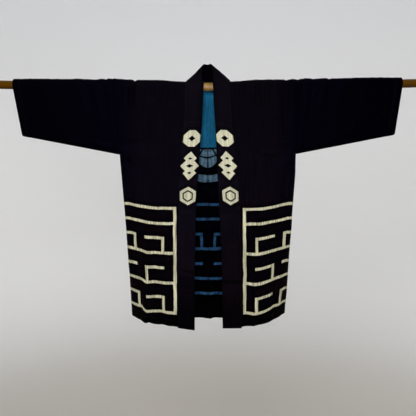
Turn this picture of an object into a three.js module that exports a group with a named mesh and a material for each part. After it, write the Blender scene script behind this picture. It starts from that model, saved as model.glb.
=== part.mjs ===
// A hanten: a straight-cut work jacket of heavy cotton, open down the front, hung on a round wooden pole
// that passes through both sleeves.
//
// Units are millimetres. +Z is up, the front faces -Y and +X is the wearer's left. The origin is on the
// pole's axis, halfway along it. Each cloth piece is worked out as a grid of points on its middle surface
// and is then given its thickness, so every piece is a closed wall.
import * as THREE from "three";

// ---------------------------------------------------------------- driving dimensions
const GAP = 0.3; // between neighbouring pieces
const CLOTH = 2.2; // body and sleeve cloth
const LINING = 1.0;
const COLLAR = 5.0; // the collar is folded double over its core

const POLE_RADIUS = 14;
const POLE_LENGTH = 1480;
const POLE_BOW = 8.3; // how far the pole has risen at POLE_BOW_AT from its middle
const POLE_BOW_AT = 672;
const POLE_SIDES = 24;
const POLE_STATIONS = 12;

// Over the pole the cloth is made of flats 30 degrees apart, whose middles must still clear the pole.
const CLEAR_OF_POLE = (POLE_RADIUS + GAP) / Math.cos(Math.PI / 12);
const OVER_POLE = CLEAR_OF_POLE + CLOTH / 2; // radius of the cloth's middle where it rests on the pole
const COLLAR_OVER_POLE = CLEAR_OF_POLE + COLLAR / 2;
const COLLAR_PROUD = COLLAR_OVER_POLE - OVER_POLE; // how far the collar stands out from the fronts

const SHOULDER_HALF = 315; // half the back's width, where the sleeve seam starts
const NECK_HALF = 75; // half the neck opening, on the shoulder
const NECK_TURN = 120; // degrees over the pole, from the front, at which the back neckline lies

const UNDERARM_X = 293;
const UNDERARM_Y = 2;
const UNDERARM_Z = -223;
const UNDERARM_RADIUS = 17; // of the rounded lower edge where sleeve and body meet
const CUFF_TOP_X = 642.5;
const CUFF_FOOT_X = 614;
const CUFF_FOOT_Z = -161;
const CUFF_RADIUS = 8; // of the sleeve's lower edge at the cuff

const SIDE_TURN = 22; // width of the rounding into the side seam
const LINING_HALF = 250;
const LINING_TOP_Z = -7;
const LINING_FOOT_Z = -201;

// The body from above, section by section: where the middle between front and back lies in Y, how far each
// wall is from it, the half width, and where the side seam lies in Y. The sides sweep back lower down.
const BODY_SECTIONS = [
  { z: 0, middle: 0, spread: OVER_POLE, half: SHOULDER_HALF, side: 0 },
  { z: -206, middle: -4, spread: 16.5, half: 294.5, side: UNDERARM_Y },
  { z: -223, middle: -4.5, spread: 16.5, half: UNDERARM_X, side: UNDERARM_Y },
  { z: -380, middle: -9, spread: 16, half: 281.5, side: 12 },
  { z: -560, middle: -14, spread: 16, half: 271, side: 40 },
  { z: -680, middle: -16, spread: 16, half: 267, side: 68 },
  { z: -800, middle: -17, spread: 16, half: 265, side: 102 },
];

// The fronts: at each height, how far the collar's free edge and its seam lie from the middle, and how far
// the free edge is set back from the seam.
const FRONT_EDGES = {
  right: [
    { z: 20, free: 16.8, seam: NECK_HALF, setBack: 0 },
    { z: 0, free: 17.2, seam: NECK_HALF, setBack: 0 },
    { z: -50, free: 18.6, seam: 77, setBack: 4 },
    { z: -116, free: 21.2, seam: 77.5, setBack: 8 },
    { z: -180, free: 23.8, seam: 82.5, setBack: 10 },
    { z: -360, free: 36.5, seam: 96, setBack: 8 },
    { z: -560, free: 43, seam: 99.5, setBack: 9 },
    { z: -800, free: 45, seam: 100, setBack: 10 },
  ],
  left: [
    { z: 20, free: 16.8, seam: NECK_HALF, setBack: 0 },
    { z: 0, free: 17.4, seam: NECK_HALF, setBack: 0 },
    { z: -50, free: 19.8, seam: 77.5, setBack: 4 },
    { z: -116, free: 24, seam: 79.5, setBack: 7 },
    { z: -180, free: 27.2, seam: 86, setBack: 7 },
    { z: -360, free: 34, seam: 103, setBack: -3 },
    { z: -560, free: 43, seam: 108, setBack: -4 },
    { z: -800, free: 46.5, seam: 109, setBack: 2 },
  ],
};

// The collar round the neck, from the front to the centre back: where its seam crosses the pole, in degrees
// over it from the front, and where its free edge stands.
const NECK_STATIONS = [
  { seamX: NECK_HALF, over: 30, free: [17.0, -18.6, 30] },
  { seamX: NECK_HALF, over: 60, free: [16.2, -17.6, 48] },
  { seamX: NECK_HALF, over: 90, free: [14.0, -13, 63.5] },
  { seamX: NECK_HALF, over: 118.5, free: [10.5, -5, 72.5] },
  { seamX: 46, over: 118.5, free: [7.5, 2.5, 75.8] },
  { seamX: 22, over: 118.5, free: [4, 6.5, 75.8] },
  { seamX: 0, over: 118.5, free: [0, 8, 75] },
];
const NECK_LEAN = -3.7; // the top of the collar leans this far to the wearer's right
const NECK_LEAN_Z = 75;

// Heights of the hem and of the collar's foot.
const SIDES = [
  { name: "right", sign: -1, footFree: -800, footSeam: -795, frontHem: -789, sideHem: -780, backHem: -766 },
  { name: "left", sign: 1, footFree: -796, footSeam: -796, frontHem: -791, sideHem: -771, backHem: -766 },
];

// The largest soft folds: at is the distance from the middle, depth is outwards, and each fold dies away
// from the hem up to its top.
const FOLDS = [
  { side: "right", panel: "front", at: 214, width: 22, depth: 7, top: -560 },
  { side: "right", panel: "front", at: 150, width: 30, depth: -3, top: -480 },
  { side: "left", panel: "front", at: 140, width: 26, depth: -3, top: -600 },
  { side: "left", panel: "front", at: 196, width: 30, depth: 4, top: -520 },
  { side: "right", panel: "back", at: 62, width: 38, depth: -4, top: -420 },
  { side: "right", panel: "back", at: 168, width: 40, depth: 8, top: -360 },
  { side: "left", panel: "back", at: 40, width: 32, depth: 4, top: -520 },
  { side: "left", panel: "back", at: 112, width: 40, depth: -6, top: -380 },
  { side: "left", panel: "back", at: 200, width: 38, depth: 7, top: -450 },
];

// ---------------------------------------------------------------- small helpers
const mix = (a, b, t) => a + (b - a) * t;
const clamp = (value) => Math.min(Math.max(value, 0), 1);
const steps = (count) => Array.from({ length: count + 1 }, (_, k) => k / count);
const sine = (degrees) => Math.sin((degrees * Math.PI) / 180);
const cosine = (degrees) => Math.cos((degrees * Math.PI) / 180);
const poleRise = (x) => POLE_BOW * (x / POLE_BOW_AT) ** 2;

// A point of a grid. facing is the way the cloth faces there, for the edges that must meet squarely.
function point(x, y, z, facing) {
  const made = new THREE.Vector3(x, y, z);
  made.facing = facing;
  return made;
}

// A table's column at height z, on a smooth curve through its rows, which run from the top down.
function tableAt(table, name, z) {
  const last = table.length - 1;
  if (z >= table[0].z) return table[0][name];
  if (z <= table[last].z) return table[last][name];
  const k = table.findIndex((row, i) => z <= row.z && z >= table[i + 1].z);
  const slope = (i) => {
    const above = table[Math.max(i - 1, 0)];
    const below = table[Math.min(i + 1, last)];
    return (below[name] - above[name]) / (below.z - above.z);
  };
  const span = table[k + 1].z - table[k].z;
  const t = (z - table[k].z) / span;
  return (
    (2 * t ** 3 - 3 * t ** 2 + 1) * table[k][name] +
    (t ** 3 - 2 * t ** 2 + t) * span * slope(k) +
    (3 * t ** 2 - 2 * t ** 3) * table[k + 1][name] +
    (t ** 3 - t ** 2) * span * slope(k + 1)
  );
}

const geometryOf = (positions) =>
  new THREE.BufferGeometry().setAttribute("position", new THREE.Float32BufferAttribute(positions, 3));

// A wall of cloth on a grid of middle-surface points, closed all round. With loop, each row joins end to
// end. keep says which cells of the grid are cloth; the others are cut away.
function wallOf(grid, thickness, { loop = false, keep = () => true } = {}) {
  const columns = grid[0].length;
  const across = loop ? columns : columns - 1;
  const wrap = (i) => (i + columns) % columns;
  const isCloth = (j, i) =>
    j >= 0 && j < grid.length - 1 && (loop || (i >= 0 && i < across)) && keep(j, wrap(i));
  const corners = (j, i) => [[j, i], [j, wrap(i + 1)], [j + 1, wrap(i + 1)], [j + 1, i]];
  const normals = grid.map((row) => row.map(() => new THREE.Vector3()));
  const cells = [];
  for (let j = 0; j < grid.length - 1; j++)
    for (let i = 0; i < across; i++) if (isCloth(j, i)) cells.push([j, i]);
  for (const [j, i] of cells) {
    const [a, b, c, d] = corners(j, i).map(([r, s]) => grid[r][s]);
    const normal = c.clone().sub(a).cross(d.clone().sub(b));
    for (const [r, s] of corners(j, i)) normals[r][s].add(normal);
  }
  const place = (r, s, side) => {
    const facing = grid[r][s].facing;
    const normal = facing ? facing.clone() : normals[r][s].clone();
    if (facing && facing.dot(normals[r][s]) < 0) normal.negate();
    return grid[r][s].clone().addScaledVector(normal.normalize(), (side * thickness) / 2);
  };
  const positions = [];
  const quad = (a, b, c, d) => {
    for (const p of [a, b, c, a, c, d]) positions.push(p.x, p.y, p.z);
  };
  for (const [j, i] of cells) {
    const outer = corners(j, i).map(([r, s]) => place(r, s, 1));
    const inner = corners(j, i).map(([r, s]) => place(r, s, -1));
    quad(...outer);
    quad(inner[0], inner[3], inner[2], inner[1]);
    const edges = [[0, 1, j - 1, i], [1, 2, j, i + 1], [2, 3, j + 1, i], [3, 0, j, i - 1]];
    for (const [a, b, r, s] of edges) if (!isCloth(r, s)) quad(outer[b], outer[a], inner[a], inner[b]);
  }
  return geometryOf(positions);
}

// The same grid on the other side of the middle.
const flipX = (v) => new THREE.Vector3(-v.x, v.y, v.z);
const onSide = (grid, sign) =>
  sign > 0 ? grid : grid.map((row) => row.map((p) => point(-p.x, p.y, p.z, p.facing && flipX(p.facing))));

// ---------------------------------------------------------------- the armhole and the cuff
// Both are loops round the pole: rounded below, straight up the front and back, and over the pole.
const FOOT_TURNS = [90, 60, 30, 0];
const RISE_STEPS = 3;
const OVER_TURNS = [30, 60, 90, 120, 150];

// Half of a loop, from its foot up to the level of the pole's axis, as it lies in Y and Z.
function halfLoop({ y, z, radius, top }, facing) {
  const centre = z + radius;
  const foot = FOOT_TURNS.map((turn) => ({
    y: y + facing * radius * cosine(turn),
    z: centre - radius * sine(turn),
    facing: new THREE.Vector3(0, facing * cosine(turn), -sine(turn)),
  }));
  const rise = steps(RISE_STEPS).slice(1).map((t) => ({
    y: mix(y, 0, t) + facing * mix(radius, OVER_POLE, t),
    z: mix(centre, top, t),
    facing: new THREE.Vector3(0, facing, 0),
  }));
  return [...foot, ...rise];
}

function wholeLoop(shape) {
  const over = OVER_TURNS.map((turn) => ({
    y: -OVER_POLE * cosine(turn),
    z: shape.top + OVER_POLE * sine(turn),
    facing: new THREE.Vector3(0, -cosine(turn), sine(turn)),
  }));
  return [...halfLoop(shape, -1), ...over, ...halfLoop(shape, 1).slice(1).reverse()];
}

const ARMHOLE = { y: UNDERARM_Y, z: UNDERARM_Z, radius: UNDERARM_RADIUS, top: poleRise(SHOULDER_HALF) };
const CUFF = { y: 0, z: CUFF_FOOT_Z, radius: CUFF_RADIUS, top: poleRise(CUFF_TOP_X) };
const armholeX = (z) => mix(SHOULDER_HALF, UNDERARM_X, clamp(z / UNDERARM_Z));
const cuffX = (z) => mix(CUFF_TOP_X, CUFF_FOOT_X, clamp(z / CUFF_FOOT_Z));

// ---------------------------------------------------------------- the body's walls, for the side x > 0
// Where both walls end at height z: on the armhole above the underarm, on the side seam below it. y is
// halfway between the walls and gap is half the space between them.
function wallEnd(z) {
  const centre = UNDERARM_Z + UNDERARM_RADIUS;
  if (z < UNDERARM_Z - 0.001)
    return { x: tableAt(BODY_SECTIONS, "half", z), y: tableAt(BODY_SECTIONS, "side", z), gap: GAP / 2 };
  const x = armholeX(z) - GAP / 2;
  if (z < centre) {
    const drop = clamp((centre - z) / UNDERARM_RADIUS);
    return { x, y: UNDERARM_Y, gap: Math.max(UNDERARM_RADIUS * Math.sqrt(1 - drop * drop), GAP / 2) };
  }
  const t = clamp((z - centre) / (ARMHOLE.top - centre));
  return { x, y: mix(UNDERARM_Y, 0, t), gap: mix(UNDERARM_RADIUS, OVER_POLE, t) };
}

// Columns across a wall: even ones, then the turn into the side, in degrees.
const ACROSS = [
  ...steps(8).map((share) => ({ share, turn: 0 })),
  ...[35, 65, 90].map((turn) => ({ share: 1, turn })),
];

// A point of the front (facing -1) or back (facing 1) wall at height z.
function wallPoint(z, facing, startX, { share, turn }) {
  const end = wallEnd(z);
  const x = mix(startX, end.x - SIDE_TURN, share) + SIDE_TURN * sine(turn);
  const gap = mix(end.gap, tableAt(BODY_SECTIONS, "spread", z), cosine(turn));
  const middle = tableAt(BODY_SECTIONS, "middle", z);
  const centre = middle + (end.y - middle) * (x / end.x) ** 3;
  // Below the underarm the two walls lie square to the sweep; above it they end in the armhole's plane.
  const slope = z < UNDERARM_Z ? (3 * (end.y - middle) * (x / end.x) ** 2) / end.x : 0;
  const length = Math.hypot(1, slope);
  const facingOut = new THREE.Vector3(1, slope, 0).normalize();
  return { x: x - (facing * gap * slope) / length, y: centre + (facing * gap) / length, facingOut };
}

function foldDepth(side, panel, x, z, hem) {
  const folds = FOLDS.filter((fold) => fold.side === side.name && fold.panel === panel && z < fold.top);
  return folds.reduce((sum, fold) => {
    const growth = clamp((fold.top - z) / (fold.top - hem));
    return sum + fold.depth * growth ** 2 * Math.exp(-(((x - fold.at) / fold.width) ** 2));
  }, 0);
}

// ---------------------------------------------------------------- a body length, front hem to back hem
const NECK_COLUMNS = 3; // columns between the centre back and the neck point
const LOWER_ROWS = 7;

// Shares of the way up from the hem to the shoulder, at the side seam and the armhole.
function climbOf(side) {
  const share = (z) => (z - side.sideHem) / (ARMHOLE.top - side.sideHem);
  const armhole = halfLoop(ARMHOLE, -1).map((p) => share(p.z));
  return [...steps(LOWER_ROWS).slice(0, -1).map((t) => t * armhole[0]), ...armhole];
}

function bodyRow(side, facing, t, row) {
  const panel = facing < 0 ? "front" : "back";
  const armholeRow = row - LOWER_ROWS;
  const at = (startX, column) => {
    const reach = mix(startX / UNDERARM_X, 1, column.share);
    const hem =
      facing < 0
        ? mix(side.frontHem, side.sideHem, column.share ** 2.5)
        : mix(side.backHem, side.sideHem, reach ** 2);
    const z = mix(hem, poleRise(reach * SHOULDER_HALF), t);
    const start = facing < 0 ? tableAt(FRONT_EDGES[side.name], "seam", z) + GAP / 2 : startX;
    const wall = wallPoint(z, facing, start, column);
    const fold = foldDepth(side, panel, wall.x, z, hem);
    const atEnd = column.turn === 90;
    const edge = armholeRow < 0 ? wall.facingOut : halfLoop(ARMHOLE, facing)[armholeRow].facing;
    return point(wall.x, wall.y + facing * fold, z, atEnd ? edge : undefined);
  };
  const neck = steps(NECK_COLUMNS)
    .slice(0, -1)
    .map((t) => at(mix(GAP / 2, NECK_HALF + GAP / 2, t), { share: 0, turn: 0 }));
  return [...neck, ...ACROSS.map((column) => at(NECK_HALF + GAP / 2, column))];
}

function bodyGeometry(side) {
  const climb = climbOf(side);
  const front = climb.map((t, row) => bodyRow(side, -1, t, row));
  const back = climb.map((t, row) => bodyRow(side, 1, t, row)).reverse();
  const over = OVER_TURNS.map((turn) =>
    back[0].map((p, i) => {
      const x = i === back[0].length - 1 ? SHOULDER_HALF - GAP / 2 : p.x;
      const facing = new THREE.Vector3(0, -cosine(turn), sine(turn));
      const rest = poleRise(x);
      return point(x, -OVER_POLE * cosine(turn), rest + OVER_POLE * sine(turn), facing);
    }),
  );
  const neckline = front.length + OVER_TURNS.indexOf(NECK_TURN);
  const keep = (j, i) => i >= NECK_COLUMNS || j >= neckline;
  return wallOf(onSide([...front, ...over, ...back], side.sign), CLOTH, { keep });
}

// ---------------------------------------------------------------- a sleeve, a tube from armhole to cuff
const SLEEVE_STATIONS = 9;

function sleeveGeometry(side) {
  const armhole = wholeLoop(ARMHOLE);
  const cuff = wholeLoop(CUFF);
  const grid = steps(SLEEVE_STATIONS).map((t) =>
    armhole.map((a, k) => {
      const c = cuff[k];
      const x = mix(armholeX(a.z) + GAP / 2, cuffX(c.z), t);
      const facing = t === 0 ? a.facing : t === 1 ? c.facing : undefined;
      return point(x, mix(a.y, c.y, t), mix(a.z, c.z, t), facing);
    }),
  );
  return wallOf(onSide(grid, side.sign), CLOTH, { loop: true });
}

// ---------------------------------------------------------------- the collar, one band from hem to hem
const COLLAR_ACROSS = 3;

function collarHalf(side) {
  const edges = FRONT_EDGES[side.name];
  const front = climbOf(side).map((t) => {
    const seamZ = mix(side.footSeam, 0, t);
    const freeZ = mix(side.footFree, 8, t);
    const x = tableAt(edges, "seam", seamZ);
    const y = wallPoint(seamZ, -1, x, ACROSS[0]).y - COLLAR_PROUD;
    const seam = [x - GAP / 2, y, seamZ];
    const free = [tableAt(edges, "free", freeZ), y + tableAt(edges, "setBack", freeZ), freeZ];
    return { seam, free, facing: new THREE.Vector3(0, -1, 0) };
  });
  const neck = NECK_STATIONS.map(({ seamX, over, free }) => {
    const x = Math.max(seamX - GAP / 2, 0);
    const z = poleRise(x) + COLLAR_OVER_POLE * sine(over);
    const seam = [x, -COLLAR_OVER_POLE * cosine(over), z];
    return { seam, free, facing: new THREE.Vector3(0, -cosine(over), sine(over)) };
  });
  return [...front, ...neck].map(({ seam, free, facing }) =>
    steps(COLLAR_ACROSS).map((t) => {
      const place = seam.map((value, axis) => mix(value, free[axis], t));
      const lean = NECK_LEAN * side.sign * t * clamp(place[2] / NECK_LEAN_Z);
      return point(place[0] + lean, place[1], place[2], t === 0 ? facing : undefined);
    }),
  );
}

function collarGeometry() {
  const [right, left] = SIDES.map((side) => onSide(collarHalf(side), side.sign));
  return wallOf([...right, ...left.reverse().slice(1)], COLLAR);
}

// ---------------------------------------------------------------- the shoulder lining, inside the back
const LINING_DROP = 5;
const LINING_ACROSS = 6;

function liningGeometry(side) {
  const depth = CLOTH / 2 + GAP + LINING / 2;
  const grid = steps(LINING_DROP).map((t) =>
    steps(LINING_ACROSS).map((s) => {
      const z = mix(LINING_TOP_Z, LINING_FOOT_Z, t);
      const x = mix(GAP / 2, LINING_HALF, s);
      const wall = wallPoint(z, 1, x, ACROSS[0]);
      return point(x, wall.y - depth, z);
    }),
  );
  return wallOf(onSide(grid, side.sign), LINING);
}

// ---------------------------------------------------------------- the pole
function poleGeometry() {
  const rings = steps(POLE_STATIONS).map((t) => {
    const x = (t - 0.5) * POLE_LENGTH;
    const turns = steps(POLE_SIDES).slice(0, -1).map((turn) => turn * 360);
    return turns.map((turn) => point(x, POLE_RADIUS * cosine(turn), poleRise(x) + POLE_RADIUS * sine(turn)));
  });
  const positions = [];
  const triangle = (...points) => points.forEach((p) => positions.push(p.x, p.y, p.z));
  for (let i = 0; i < POLE_SIDES; i++) {
    const next = (i + 1) % POLE_SIDES;
    for (let j = 0; j < POLE_STATIONS; j++) {
      triangle(rings[j][i], rings[j][next], rings[j + 1][next]);
      triangle(rings[j][i], rings[j + 1][next], rings[j + 1][i]);
    }
    const [start, end] = [rings[0], rings[POLE_STATIONS]];
    triangle(point(start[0].x, 0, poleRise(start[0].x)), start[next], start[i]);
    triangle(point(end[0].x, 0, poleRise(end[0].x)), end[i], end[next]);
  }
  return geometryOf(positions);
}

// ---------------------------------------------------------------- assembly
const INDIGO = { color: 0x0a070e, roughness: 0.92, metalness: 0 };
const SLEEVE_INDIGO = { color: 0x030209, roughness: 0.92, metalness: 0 };
const COLLAR_INDIGO = { color: 0x0c0a11, roughness: 0.92, metalness: 0 };
const LINING_BLUE = { color: 0x134d6c, roughness: 0.9, metalness: 0 };
const POLE_WOOD = { color: 0x7a5f3a, roughness: 0.6, metalness: 0 };

const hanten = new THREE.Group();
hanten.name = "hanten_on_pole";
function add(name, geometry, look) {
  geometry.computeVertexNormals();
  const mesh = new THREE.Mesh(geometry, new THREE.MeshStandardMaterial(look));
  mesh.name = name;
  hanten.add(mesh);
}

add("pole", poleGeometry(), POLE_WOOD);
for (const side of SIDES) {
  add("body_" + side.name, bodyGeometry(side), INDIGO);
  add("sleeve_" + side.name, sleeveGeometry(side), SLEEVE_INDIGO);
  add("shoulder_lining_" + side.name, liningGeometry(side), LINING_BLUE);
}
add("collar", collarGeometry(), COLLAR_INDIGO);

export default hanten;
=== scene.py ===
# %% [markdown]
# # A hanten on a wooden pole
# A hanten is a straight-cut work jacket of heavy indigo cotton. This lesson starts from the CAD frame,
# which says where each piece of cloth hangs, and sews the real thing round it: every piece is cut flat as a
# grid, hung in the form that the frame holds, creased and then given its thickness. Flat cutting
# comes first because a printed pattern and a weave belong to the cloth, and so have to hang with it.

# %% Load the frame
import math

import bpy
import numpy as np
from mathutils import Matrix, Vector, noise


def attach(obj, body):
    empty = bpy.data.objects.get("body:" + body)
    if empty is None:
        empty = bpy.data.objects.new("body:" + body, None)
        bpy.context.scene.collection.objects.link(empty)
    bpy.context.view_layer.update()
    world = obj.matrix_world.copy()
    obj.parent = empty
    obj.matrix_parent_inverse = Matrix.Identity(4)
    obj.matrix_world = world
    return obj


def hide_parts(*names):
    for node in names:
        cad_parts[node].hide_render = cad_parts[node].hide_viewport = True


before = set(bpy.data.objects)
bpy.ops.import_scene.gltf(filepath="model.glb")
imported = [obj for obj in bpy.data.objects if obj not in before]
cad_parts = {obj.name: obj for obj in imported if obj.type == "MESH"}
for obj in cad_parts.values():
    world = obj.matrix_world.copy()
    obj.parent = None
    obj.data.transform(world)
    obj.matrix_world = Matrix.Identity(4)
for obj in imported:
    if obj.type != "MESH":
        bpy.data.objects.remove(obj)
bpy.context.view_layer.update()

print("nodes:", sorted(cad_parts))

# %% [markdown]
# ## The camera
# The jacket is seen square on, from the height of its middle and from well under two metres away, so the
# lens is fairly wide. A near camera matters here: the sides of the jacket sweep back, and only a near one
# draws their hems higher than the hem in front. The camera is made first, as all else is judged through it.

# %% A camera square to the front
VIEW_ANGLE = math.radians(52.96)
CAMERA_DISTANCE, CAMERA_HEIGHT = 1.390, -0.404
CAMERA_ROLL = math.radians(0.2)
NEAREST_SEEN = 0.05

bpy.ops.object.camera_add(
    location=(0, -CAMERA_DISTANCE, CAMERA_HEIGHT),
    rotation=(math.radians(90), CAMERA_ROLL, 0),
)
camera = bpy.context.object
camera.name = "camera"
camera.data.angle = VIEW_ANGLE
camera.data.clip_start = NEAREST_SEEN
bpy.context.scene.camera = camera
print("camera", camera.location[:], "angle", round(math.degrees(camera.data.angle), 2))

# %% [markdown]
# ## The stage
# A plain pale floor that turns up into a plain wall all round, like a shallow bowl, gives every view the
# same quiet ground. It is a round floor whose edge is raised and widened, step by step, into a wide cove,
# and then raised once more as the wall.

# %% A pale floor that turns up into a wall
FLOOR_DROP = 1.75  # the floor is this far below the pole
BOWL_RADIUS, COVE_RADIUS, BOWL_HEIGHT = 3.6, 1.1, 8.0
BOWL_SIDES, COVE_STEPS = 96, 14


def deselect_all():
    if bpy.context.object and bpy.context.object.mode != "OBJECT":
        bpy.ops.object.mode_set(mode="OBJECT")
    bpy.ops.object.select_all(action="DESELECT")


def only(piece):
    """Makes that piece the one that operators act on."""
    deselect_all()
    piece.select_set(True)
    bpy.context.view_layer.objects.active = piece


def edit(action):
    """Into edit mode, with all of the mesh selected or none of it."""
    bpy.ops.object.mode_set(mode="EDIT")
    bpy.ops.mesh.select_all(action=action)


deselect_all()
bpy.ops.mesh.primitive_circle_add(
    vertices=BOWL_SIDES, radius=BOWL_RADIUS - COVE_RADIUS, fill_type="NGON", location=(0, 0, -FLOOR_DROP)
)
floor = bpy.context.object
floor.name = "floor"
edit("SELECT")
bpy.ops.mesh.select_mode(type="EDGE")
bpy.ops.mesh.region_to_loop()
for step in range(COVE_STEPS):
    turn = [math.radians(90) * (step + k) / COVE_STEPS for k in (0, 1)]
    reach = [BOWL_RADIUS - COVE_RADIUS + COVE_RADIUS * math.sin(t) for t in turn]
    climb = COVE_RADIUS * (math.cos(turn[0]) - math.cos(turn[1]))
    bpy.ops.mesh.extrude_edges_move(TRANSFORM_OT_translate={"value": (0, 0, climb)})
    grow = reach[1] / reach[0]
    bpy.ops.transform.resize(value=(grow, grow, 1), center_override=(0, 0, 0))
bpy.ops.mesh.extrude_edges_move(TRANSFORM_OT_translate={"value": (0, 0, BOWL_HEIGHT)})
bpy.ops.mesh.select_all(action="SELECT")
bpy.ops.mesh.normals_make_consistent(inside=True)
bpy.ops.object.mode_set(mode="OBJECT")
bpy.ops.object.shade_smooth()
bpy.ops.object.transform_apply(location=True, rotation=True, scale=True)
print("the floor has", len(floor.data.polygons), "faces")

# %% [markdown]
# ## The light
# Near-black cloth shows its folds only where the light falls across it. One large soft light hangs high in
# front, a weaker one low in front, one behind and one on the wall, and a pale sky fills the rest. The
# colour management is set to Standard, because the dyes are given as measured colours and are to come out
# as they went in.

# %% Soft studio light
# name, place, what it looks at, size, watts, colour
SOFT_LIGHTS = [
    ("key_light", (-0.35, -1.9, 0.95), (0, 0, -0.3), 1.1, 34, (1, 0.985, 0.97)),
    ("low_fill", (0.4, -2.9, -0.35), (0, 0, -0.45), 1.4, 15, (1, 0.97, 0.94)),
    ("back_light", (0.6, 2.2, 1.0), (0, 0, -0.3), 1.4, 26, (1, 0.985, 0.97)),
    ("wall_light", (0, 1.0, 1.9), (0, 3.6, -0.4), 1.2, 8, (1, 1, 1)),
]
SKY_COLOUR, SKY_STRENGTH = (0.93, 0.95, 1.0, 1), 1.08

for name, place, aim, size, watts, tint in SOFT_LIGHTS:
    bpy.ops.object.light_add(type="AREA", location=place)
    light = bpy.context.object
    light.name = name
    light.data.size, light.data.energy, light.data.color = size, watts, tint
    light.rotation_euler = (Vector(aim) - Vector(place)).to_track_quat("-Z", "Y").to_euler()
world = bpy.data.worlds.new("pale_sky")
bpy.context.scene.world = world
world.use_nodes = True
sky = world.node_tree.nodes["Background"].inputs
sky["Color"].default_value, sky["Strength"].default_value = SKY_COLOUR, SKY_STRENGTH
bpy.context.scene.view_settings.view_transform = "Standard"

# %% [markdown]
# ## The measures of the jacket
# The frame was drawn from these measures, and the cloth hangs by the same ones, written in millimetres and
# used in metres. The jacket hangs from a bowed pole, its two walls about 32 mm apart, and its sides sweep
# back lower down. Each table runs from the top down, and a smooth curve goes through its rows.

# %% Measures
MM = 0.001
OVER_POLE = 15.9 * MM  # from the pole's axis to the middle of the cloth that lies on it
COLLAR_OVER_POLE = 17.3 * MM
POLE_BOW, POLE_BOW_AT = 8.3 * MM, 672 * MM  # how far the pole has risen, and where
SHOULDER_HALF, NECK_HALF = 315 * MM, 75 * MM
NECK_TURN = 104  # degrees over the pole, from the front, where the back's allowance inside the collar ends
UNDERARM_X, UNDERARM_Y, UNDERARM_Z = 293 * MM, 2 * MM, -225 * MM
UNDERARM_RADIUS, CUFF_RADIUS, SIDE_TURN = 17 * MM, 8 * MM, 22 * MM
CUFF_TOP_X, CUFF_FOOT_Z = 642.5 * MM, -163 * MM
CUFF_FOOT_X = {"right": 614 * MM, "left": 619 * MM}

# height, middle of the two walls, half the space between them, half width, where the side seam lies
BODY_SECTIONS = [
    (0, 0, 15.9, 315, 0), (-206, -4, 16.5, 294.5, 2), (-223, -4.5, 16.5, 293, 2), (-380, -9, 16, 281.5, 12),
    (-560, -14, 16, 271, 40), (-680, -16, 16, 267, 68), (-800, -17, 16, 265, 102),
]
# height, collar's free edge, collar's seam, how far the free edge is set back
FRONT_EDGES = {
    "right": [
        (20, 12.6, 75, 0), (0, 12.9, 75, 0), (-50, 15.6, 77, 4), (-116, 18.9, 77.5, 8),
        (-180, 23.2, 82.5, 10), (-360, 36.5, 96, 8), (-560, 43, 99.5, 9), (-800, 45, 100, 10),
    ],
    "left": [
        (20, 16.8, 75, 0), (0, 17.4, 75, 0), (-50, 19.8, 77.5, 4), (-116, 24, 79.5, 7),
        (-180, 27.2, 86, 7), (-360, 34, 103, -3), (-560, 43, 108, -4), (-800, 46.5, 109, 2),
    ],
}
# which way the side lies, then heights: the collar's foot at its free edge and at its seam, and the hems
SIDES = {
    "right": dict(sign=-1, foot_free=-806, foot_seam=-795, front_hem=-791.5, back_hem=-770, side_hem=-779.5),
    "left": dict(sign=1, foot_free=-798, foot_seam=-797, front_hem=-793, back_hem=-770, side_hem=-773),
}


def mix(a, b, t):
    return a + (b - a) * t


def clamp(value):
    return np.clip(value, 0, 1)


def smoothly(low, high, value):
    """0 below low, 1 above high, and a soft step between them."""
    t = clamp((np.asarray(value, float) - low) / (high - low))
    return t * t * (3 - 2 * t)


def hump(value, at, width):
    """1 where value is at that place, and softly down to 0 on both sides of it."""
    return np.exp(-(((value - at) / width) ** 2))


def pole_rise(x):
    """The pole is bowed: how far its axis has risen at x."""
    return POLE_BOW * (x / POLE_BOW_AT) ** 2


def round_pole(x, turn, radius):
    """Places over the pole, turned that far from its front and that far from its axis."""
    return np.stack([x, -radius * np.cos(turn), pole_rise(x) + radius * np.sin(turn)], -1)


def curve_through(rows):
    """A smooth function of height through a table's rows, in metres; it gives the other columns."""
    rows = np.array(rows, float) * MM
    heights, values = rows[:, 0], rows[:, 1:]
    last = len(rows) - 1
    above = np.maximum(np.arange(last + 1) - 1, 0)
    below = np.minimum(np.arange(last + 1) + 1, last)
    slopes = (values[below] - values[above]) / (heights[below] - heights[above])[:, None]

    def at(z):
        z = np.clip(np.asarray(z, float), heights[last], heights[0])
        k = np.clip(np.searchsorted(-heights, -z, side="right") - 1, 0, last - 1)
        span = (heights[k + 1] - heights[k])[..., None]
        t = (z - heights[k])[..., None] / span
        found = (
            (2 * t**3 - 3 * t**2 + 1) * values[k]
            + (t**3 - 2 * t**2 + t) * span * slopes[k]
            + (3 * t**2 - 2 * t**3) * values[k + 1]
            + (t**3 - t**2) * span * slopes[k + 1]
        )
        return np.moveaxis(found, -1, 0)

    return at


body_section = curve_through(BODY_SECTIONS)
front_edge = {side: curve_through(rows) for side, rows in FRONT_EDGES.items()}
print("half width at the hem:", round(float(body_section(-0.8)[2]), 4))

# %% [markdown]
# ## The loops of the armhole and the cuff
# Each sleeve is a length of cloth folded over the pole and sewn below, so its two ends are loops round the
# pole: round at the foot, straight up the front and back, and over the pole. The body ends on the same loop
# as the sleeve begins, point for point, so that no gap opens along the armhole seam.

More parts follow.
